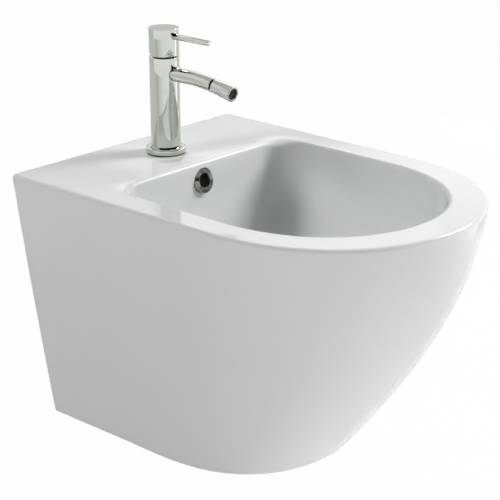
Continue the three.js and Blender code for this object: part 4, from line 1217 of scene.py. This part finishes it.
def make_card(name, azimuths, elevations, distance, brightness):
    """A part of a sphere round the tap in an even or fading grey, seen only in mirrors."""
    across, up = (max(2, round((last - first) / CARD_STEP)) for first, last in (azimuths, elevations))
    points, glows = [], []
    for row in range(up + 1):
        tilt = math.radians(mix(*elevations, row / up))
        for column in range(across + 1):
            turn = math.radians(mix(*azimuths, column / across))
            points.append(CARD_CENTRE + distance * bearing(turn, tilt))
            low, high = (mix(*pair, column / across) for pair in (brightness[:2], brightness[2:]))
            glows.append(mix(low, high, row / up))
    wide = across + 1
    starts = [row * wide + column for row in range(up) for column in range(across)]
    mesh = bpy.data.meshes.new(name)
    mesh.from_pydata(points, [], [(k, k + 1, k + wide + 1, k + wide) for k in starts])
    mesh.attributes.new("glow", "FLOAT", "POINT").data.foreach_set("value", glows)
    card = new_object(name, mesh)
    for rays in ("camera", "diffuse", "transmission", "volume_scatter", "shadow"):
        setattr(card, f"visible_{rays}", False)
    tree = paint_stage(card, name)
    level = node(tree, "ShaderNodeAttribute", (-200, 0), attribute_name="glow")
    glow = node(tree, "ShaderNodeEmission", (0, 0), {"Strength": level.outputs["Fac"]})
    node(tree, "ShaderNodeOutputMaterial", (200, 0), {"Surface": glow.outputs[0]})


def make_camera(scene, settings):
    """The camera at the photograph's place."""
    camera = bpy.data.cameras.new("camera")
    camera.lens = settings.lens
    camera.sensor_width = SENSOR_WIDTH
    camera.clip_end = CLIP_END
    holder = new_object("camera", camera)
    holder.location = settings.place
    holder.rotation_mode = "QUATERNION"
    holder.rotation_quaternion = facing(bearing(settings.azimuth, settings.elevation))
    scene.camera = holder


# Operators

class BIDET_OT_ceramic(bpy.types.Operator):
    """Make the glazed ceramic with its bowl, deck, hollow and holes"""

    bl_idname = "bidet.ceramic"
    bl_label = "Ceramic"

    def execute(self, context):
        settings = context.scene.bidet_ceramic
        rings = bowl_and_deck_rings(settings) + outside_rings(settings) + hollow_rings() + underside_rings()
        floor, foot = ((0, WASTE_Y, RIM - depth) for depth in (BOWL_DEPTH, BOWL_DEPTH + BOSS_DEPTH))
        body = mesh_object("ceramic", *skin(rings, floor, foot))
        combine(body, ceramic_cutters())
        finish_piece(body, "root", "glazed_ceramic", ["bidet_body"], smooth_angle=CERAMIC_SMOOTH_ANGLE)
        return {"FINISHED"}


class BIDET_OT_overflow_trim(bpy.types.Operator):
    """Make the stepped chrome ring of the overflow"""

    bl_idname = "bidet.overflow_trim"
    bl_label = "Overflow Trim"

    def execute(self, context):
        sleeve, foot, level = OVERFLOW_HOLE_RADIUS - FIT_GAP, SEAT_GAP - TRIM_SINK, SEAT_GAP + TRIM_FLANGE
        outline = [(TRIM_BORE, -TRIM_SLEEVE, 0.5), (sleeve, -TRIM_SLEEVE, 0.5), (sleeve, foot, 0),
                   (TRIM_RADIUS, foot, 0.3), (TRIM_RADIUS, level, 0.3)]
        for k in range(TRIM_GROOVES):
            groove = TRIM_RADIUS - TRIM_LAND - k * (TRIM_GROOVE + TRIM_LAND)
            outline += [(groove, level, 0), (groove - TRIM_GROOVE / 2, level - TRIM_GROOVE / 2, 0),
                        (groove - TRIM_GROOVE, level, 0), (groove - TRIM_GROOVE, level + TRIM_RISE, 0)]
            level += TRIM_RISE
        # The ring is drawn in the darker chrome, a painted shade for the shade it sits in on the bowl's rear
        # wall
        turned_piece("overflow_trim", "root", "chrome", "overflow_ring", trim_place() @ FORWARD,
                     [*outline, (TRIM_BORE, level, 0.9)], look="dark_chrome")
        return {"FINISHED"}


class BIDET_OT_waste(bpy.types.Operator):
    """Make the waste fitting with its slots and spider, its back nut and the domed plug"""

    bl_idname = "bidet.waste"
    bl_label = "Waste and Plug"

    def execute(self, context):
        floor, axis = RIM - BOWL_DEPTH, (0, WASTE_Y)
        place = Matrix.Translation((*axis, floor))
        end, inner = -FLANGE_THICKNESS - TUBE_LENGTH, TUBE_RADIUS - TUBE_WALL
        low, high = (floor - SPIDER_DEPTH + side * SPIDER_THICKNESS / 2 for side in (-1, 1))
        reach, half, past = inner + TUBE_WALL / 2, SPIDER_ARM / 2, TUBE_RADIUS + OVERRUN
        arms = [rectangle((-x, WASTE_Y - y), (x, WASTE_Y + y)) for x, y in ((reach, half), (half, reach))]
        hub = circle(axis, HUB_RADIUS, HOLE_SIDES)
        slot_low = floor - SLOT_TOP - SLOT_HEIGHT
        slot = rectangle((-SLOT_HALF_WIDTH, slot_low), (SLOT_HALF_WIDTH, slot_low + SLOT_HEIGHT))
        turned_piece("waste_fitting", "root", "chrome", "waste_body", place, [
            (inner, end, 1), (TUBE_RADIUS, end, 1), (TUBE_RADIUS, -FLANGE_THICKNESS, 0.5),
            (FLANGE_RADIUS, -FLANGE_THICKNESS, 0.3), (FLANGE_RADIUS, -FLANGE_FALL, 1.4),
            (FLANGE_RADIUS - FLANGE_THICKNESS, 0, 3), (inner, -FLANGE_FALL, 1.6),
        ], joins=[prism(shape, "Z", low, high) for shape in (*arms, hub)], cuts=[
            prism(slot, "Y", WASTE_Y - past, WASTE_Y + past),
            bore(axis, STEM_RADIUS + FIT_GAP, "Z", low - OVERRUN, high + OVERRUN),
        ])

        seal_low, seal_high = (-PLUG_NECK_DEPTH / 2 + side * (PLUG_SEAL / 2 + SEAT_GAP) for side in (-1, 1))
        neck, groove = PLUG_NECK_RADIUS, PLUG_NECK_RADIUS - PLUG_SEAL_INSET
        rim = PLUG_CLEARANCE + PLUG_RIM
        dome = [(PLUG_RADIUS * math.cos(a), mix(rim, rim + PLUG_CROWN, math.sin(a)), 0)
                for a in quarter(DOME_STEPS)[:-1]]
        turned_piece("plug", "plug", "chrome", "waste_plug", place, [
            (0, -PLUG_NECK_DEPTH, 0), (neck, -PLUG_NECK_DEPTH, 1), (neck, seal_low, 0.4),
            (groove, seal_low, 0), (groove, seal_high, 0), (neck, seal_high, 0.4),
            (neck, PLUG_CLEARANCE, 0.5), (PLUG_RADIUS, PLUG_CLEARANCE, 1), *dome, (0, rim + PLUG_CROWN, 0),
        ], closed=False)

        top, inner = floor - BOSS_DEPTH - 2 * SEAT_GAP - CONE_WASHER, TUBE_RADIUS + FIT_GAP
        low, high = top - NUT_HEIGHT - OVERRUN, top + OVERRUN
        turned_piece("waste_back_nut", "root", "brass", "waste_nut", Matrix.Translation((*axis, top)), [
            (inner, -NUT_HEIGHT, 1), (NUT_RADIUS, -NUT_HEIGHT, 2.4), (NUT_RADIUS, 0, 2.4), (inner, 0, 1),
        ], cuts=[bore(centre, NUT_NOTCH_RADIUS, "Z", low, high, NOTCH_SIDES)
                 for centre in circle(axis, NUT_RADIUS, NUT_NOTCHES)])
        return {"FINISHED"}


class BIDET_OT_column(bpy.types.Operator):
    """Make the tap's column with its ports, and the ring at its foot"""

    bl_idname = "bidet.column"
    bl_label = "Tap Column and Base Ring"

    def execute(self, context):
        foot, top = COLUMN_LOW.z - RIM, COLUMN_HIGH.z - RIM
        below = COLUMN_LOW.z - OVERRUN
        holes = [bore((0, TAP_Y + TAP_STUD_BACK), TAP_STUD_HOLE_RADIUS, "Z", below,
                      COLUMN_LOW.z + TAP_STUD_IN_COLUMN)]
        for x in (-PORT_OFFSET, PORT_OFFSET):
            centre = (x, TAP_Y - PORT_FORWARD)
            holes += [bore(centre, PORT_RADIUS, "Z", below, RIM + CHAMBER_FLOOR + SEAT_GAP),
                      bore(centre, PORT_SEAT_RADIUS, "Z", below, COLUMN_LOW.z + PORT_SEAT_DEPTH)]
        holes.append(bore((0, RIM + SPOUT_HEIGHT), SPOUT_RADIUS + FIT_GAP, "Y",
                          TAP_Y - COLUMN_RADIUS - OVERRUN, TAP_Y))
        turned_piece("column", "root", "chrome", "tap_body", tap_place(), [
            (0, foot, 0), (COLUMN_RADIUS, foot, 0.6), (COLUMN_RADIUS, top, 1), (CHAMBER_RADIUS, top, 0.4),
            (CHAMBER_RADIUS, CHAMBER_FLOOR, 0), (0, CHAMBER_FLOOR, 0),
        ], cuts=holes, closed=False)

        low, high = BASE_LOW.z - RIM, BASE_HIGH.z - RIM
        radius, inner = BASE_HIGH.x, COLUMN_RADIUS + FIT_GAP
        turned_piece("base_trim", "root", "chrome", "base_ring", tap_place(), [
            (BASE_BORE, low, 0.4), (radius, low, 0.6), (radius, high, 0.5), (inner, high, 0.4),
            (inner, low + BASE_FLOOR, 0), (BASE_BORE, low + BASE_FLOOR, 0.4),
        ])
        return {"FINISHED"}


class BIDET_OT_handle(bpy.types.Operator):
    """Make the handle cap with its rear bevel, the lever rod and the grub screw"""

    bl_idname = "bidet.handle"
    bl_label = "Handle"

    def execute(self, context):
        low, top = CAP_LOW_HEIGHT, CAP_HIGH.z - RIM
        ceiling, inner = top - CAP_HEAD, COLUMN_RADIUS - CAP_WALL
        base, past, axis = RIM + low, COLUMN_RADIUS + OVERRUN, (0, RIM + LEVER_HEIGHT)
        back = TAP_Y + COLUMN_RADIUS + past
        rise = (COLUMN_RADIUS + past) * math.tan(CAP_BEVEL_ANGLE)
        wedge = [(TAP_Y, base), (back, base + rise), (back, base - OVERRUN), (TAP_Y, base - OVERRUN)]
        half_x, half_y = SPINDLE_HALF_WIDTH + FIT_GAP, SPINDLE_HALF_DEPTH + FIT_GAP
        socket = rectangle((-half_x, TAP_Y - half_y), (half_x, TAP_Y + half_y))
        turned_piece("handle_top", "handle", "chrome", "handle_cap", tap_place(), [
            (0, top, 0), (COLUMN_RADIUS - CAP_RIM, top, 0), (COLUMN_RADIUS, top, 0.6),
            (COLUMN_RADIUS, low, 1), (inner, low, 0.4), (inner, ceiling, 0), (0, ceiling, 0),
        ], closed=False, cuts=[
            prism(wedge, "X", -past, past),
            prism(socket, "Z", base, RIM + ceiling + SPINDLE_IN_CAP + FIT_GAP),
            bore(axis, LEVER_RADIUS + FIT_GAP, "Y", TAP_Y - past, TAP_Y - COLUMN_RADIUS + LEVER_IN_CAP),
            bore(axis, GRUB_RADIUS + FIT_GAP, "Y", TAP_Y, TAP_Y + past),
        ])

        start, tip = TAP_Y - LEVER_HIGH.y, TAP_Y - LEVER_LOW.y + LEVER_TIP
        turned_piece("lever", "handle", "chrome", "lever_rod", tap_place(LEVER_HEIGHT) @ FORWARD, [
            (0, start, 0), (LEVER_RADIUS, start, 1), (LEVER_RADIUS, tip, 1), (0, tip, 0),
        ], closed=False)

        end, backwards = TAP_Y + inner, Matrix.Rotation(-math.pi / 2, 4, "X")
        key = bore(axis, GRUB_KEY / math.sqrt(3), "Y", end - GRUB_KEY_DEPTH, end + OVERRUN, 6)
        turned_piece("set_screw", "handle", "steel", "grub_screw", tap_place(LEVER_HEIGHT) @ backwards, [
            (0, half_y, 0), (GRUB_RADIUS, half_y, 1), (GRUB_RADIUS, inner, 1), (0, inner, 0),
        ], cuts=[key], closed=False)
        return {"FINISHED"}


class BIDET_OT_spout(bpy.types.Operator):
    """Make the spout, a tube that leaves the column level and bends slowly downwards"""

    bl_idname = "bidet.spout"
    bl_label = "Spout"

    def execute(self, context):
        length = SPOUT_STRAIGHT + SPOUT_BEND_RADIUS * SPOUT_BEND_ANGLE
        root = math.sqrt(CHAMBER_RADIUS ** 2 - SPOUT_RADIUS ** 2) + SEAT_GAP
        stations = [mix(root, length, k / SPOUT_STEPS) for k in range(SPOUT_STEPS)]
        outside, inside = (
            [*((radius, z, 0) for z in stations), (radius, length, corner)]
            for radius, corner in ((SPOUT_RADIUS, 1), (SPOUT_RADIUS - SPOUT_WALL, 0.4))
        )
        turned_piece("spout_tube", "root", "chrome", "spout", tap_place(SPOUT_HEIGHT), outside + inside[::-1],
                     cuts=[bore((0, TAP_Y), CHAMBER_RADIUS + SEAT_GAP, "Z", RIM, COLUMN_HIGH.z)],
                     sides=SPOUT_SIDES, maker=bent_tube_tree,
                     **{"Straight": SPOUT_STRAIGHT, "Bend Radius": SPOUT_BEND_RADIUS})
        return {"FINISHED"}


class BIDET_OT_nozzle(bpy.types.Operator):
    """Make the swivel nozzle and the aerator in its mouth"""

    bl_idname = "bidet.nozzle"
    bl_label = "Nozzle and Aerator"

    def execute(self, context):
        start, end = NOZZLE_GAP + NOZZLE_GAP_MORE, NOZZLE_GAP + NOZZLE_LENGTH
        face = end - AERATOR_INSET
        back = face - AERATOR_LENGTH
        mouth, lip_end = AERATOR_RADIUS + SEAT_GAP, end - MOUTH_LIP_DEPTH
        seat, step = back - SEAT_GAP, SOCKET_RADIUS - NOZZLE_STEP
        neck = BALL_CENTRE + SEAT_FORWARD + SEAT_LENGTH + SEAT_GAP
        lip = BALL_CENTRE - SOCKET_LIP_DEPTH
        turned_piece("nozzle_shell", "nozzle_head", "chrome", "nozzle", nozzle_place(), [
            (SOCKET_LIP_RADIUS, start, 0.5), (SPOUT_RADIUS, start, 1), (NOZZLE_END_RADIUS, end, 1),
            (mouth - MOUTH_LIP, end, 0.6), (mouth - MOUTH_LIP, lip_end, 0.3), (mouth, lip_end, 0),
            (mouth, seat, 0), (step, seat, 0), (step, neck, 0), (SOCKET_RADIUS, neck, 0),
            (SOCKET_RADIUS, lip, 0), (SOCKET_LIP_RADIUS, lip, 0.3),
        ])

        dish = face - AERATOR_DISH
        disc = lathe("aerator_insert", [
            (0, back, 0), (AERATOR_RADIUS, back, 0.5), (AERATOR_RADIUS, face, 0.8),
            (AERATOR_RIM_RADIUS, face, 0.8), (AERATOR_RIM_RADIUS, dish, 0.4), (0, dish, 0),
        ], "dark_plastic", closed=False, sides=AERATOR_SIDES)
        for index, (count, radius) in enumerate(AERATOR_RINGS):
            use_tree(disc, rose_tree, {
                "Ring Radius": radius, "Count": count, "Nib Radius": NIB_RADIUS, "Nib Height": NIB_HEIGHT,
                "Level": dish - NIB_SUNK, "Turn": index * NIB_TURN, "Material": finishes()["dark_plastic"]})
        bake(disc, nozzle_place())
        finish_piece(disc, "nozzle_head", "dark_plastic", ["aerator"])
        return {"FINISHED"}


class BIDET_OT_fixings(bpy.types.Operator):
    """Make the threaded studs, their hexagon nuts and the nut under the tap"""

    bl_idname = "bidet.fixings"
    bl_label = "Studs and Nuts"

    def execute(self, context):
        settings = context.scene.bidet_tap
        for side in ("left", "right"):
            low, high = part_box(f"wall_stud_{side}")
            x, radius = (low.x + high.x) / 2, (high.x - low.x) / 2
            place = Matrix.Translation((x, (low.y + high.y) / 2, (low.z + high.z) / 2)) @ FORWARD
            threaded_rod(f"anchor_rod_{side}", f"wall_stud_{side}", radius, high.y - low.y,
                         settings.thread_pitch, settings.thread_depth, place)
            low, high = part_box(f"stud_nut_{side}")
            place = Matrix.Translation((x, high.y, (low.z + high.z) / 2)) @ FORWARD
            nut_piece(f"anchor_nut_{side}", f"stud_nut_{side}", (high.x - low.x) / 2, radius + FIT_GAP,
                      high.y - low.y, "steel", place)
        low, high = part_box("tap_stud")
        radius, y = (high.x - low.x) / 2, TAP_Y + TAP_STUD_BACK
        threaded_rod("tap_rod", "tap_stud", radius, high.z - low.z, TAP_THREAD_PITCH, TAP_THREAD_DEPTH,
                     Matrix.Translation((0, y, (low.z + high.z) / 2)))
        low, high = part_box("tap_nut")
        nut_piece("tap_rod_nut", "tap_nut", (high.x - low.x) / 2, radius + FIT_GAP, high.z - low.z, "brass",
                  Matrix.Translation((0, y, low.z)))
        return {"FINISHED"}


class BIDET_OT_dress(bpy.types.Operator):
    """Give every construction solid that still shows its finish"""

    bl_idname = "bidet.dress"
    bl_label = "Finish Hidden Parts"

    def execute(self, context):
        slots = {part["node"]: part["material_slot"] for part in frame["record"]["subparts"]}
        for name, solid in frame["nodes"].items():
            if not solid.material_slots:
                raise RuntimeError(f"{name} has no material slot")
            for slot in solid.material_slots:
                # Solids in the tap's gaps get the painted gap shade in place of their slot's finish
                slot.material = finishes()[GAP_SHADE_FINISHES.get(name, slots[name])]
        return {"FINISHED"}


class BIDET_OT_stage(bpy.types.Operator):
    """Make the floor, the lamps, the cards that the chrome mirrors, the sky and the camera"""

    bl_idname = "bidet.stage"
    bl_label = "Stage"

    def execute(self, context):
        settings = context.scene.bidet_stage
        make_floor(settings)
        make_sky(context.scene, settings)
        for lamp in LAMPS:
            make_lamp(*lamp, getattr(settings, lamp[0]))
        for card in CARDS:
            make_card(*card)
        make_camera(context.scene, settings)
        context.scene.view_settings.view_transform = "Standard"
        return {"FINISHED"}


class BIDET_PT_panel(bpy.types.Panel):
    """Sizes, finishes and the steps that build the bidet"""

    bl_label = "Wall Hung Bidet"
    bl_idname = "BIDET_PT_panel"
    bl_space_type = "VIEW_3D"
    bl_region_type = "UI"
    bl_category = "Bidet"

    def draw(self, context):
        for group in (getattr(context.scene, name) for name in GROUPS):
            box = self.layout.box()
            for name in group.__annotations__:
                box.prop(group, name)
        for operator in OPERATORS:
            self.layout.operator(operator.bl_idname)


OPERATORS = (
    BIDET_OT_ceramic, BIDET_OT_overflow_trim, BIDET_OT_waste, BIDET_OT_column, BIDET_OT_handle,
    BIDET_OT_spout, BIDET_OT_nozzle, BIDET_OT_fixings, BIDET_OT_dress, BIDET_OT_stage,
)
GROUPS = {"bidet_ceramic": CeramicSettings, "bidet_tap": TapSettings, "bidet_stage": StageSettings}


def register():
    """Adds the settings, the operators and the panel."""
    for cls in (*GROUPS.values(), *OPERATORS, BIDET_PT_panel):
        bpy.utils.register_class(cls)
    for name, cls in GROUPS.items():
        setattr(bpy.types.Scene, name, PointerProperty(type=cls))


def unregister():
    """Takes away what register added."""
    for name in GROUPS:
        delattr(bpy.types.Scene, name)
    for cls in (BIDET_PT_panel, *reversed(OPERATORS), *reversed(GROUPS.values())):
        bpy.utils.unregister_class(cls)


def main():
    """Builds the bidet and its stage."""
    register()
    bpy.ops.bidet.ceramic()
    bpy.ops.bidet.overflow_trim()
    bpy.ops.bidet.waste()
    bpy.ops.bidet.column()
    bpy.ops.bidet.handle()
    bpy.ops.bidet.spout()
    bpy.ops.bidet.nozzle()
    bpy.ops.bidet.fixings()
    bpy.ops.bidet.dress()
    bpy.ops.bidet.stage()


if __name__ == "__main__":
    main()
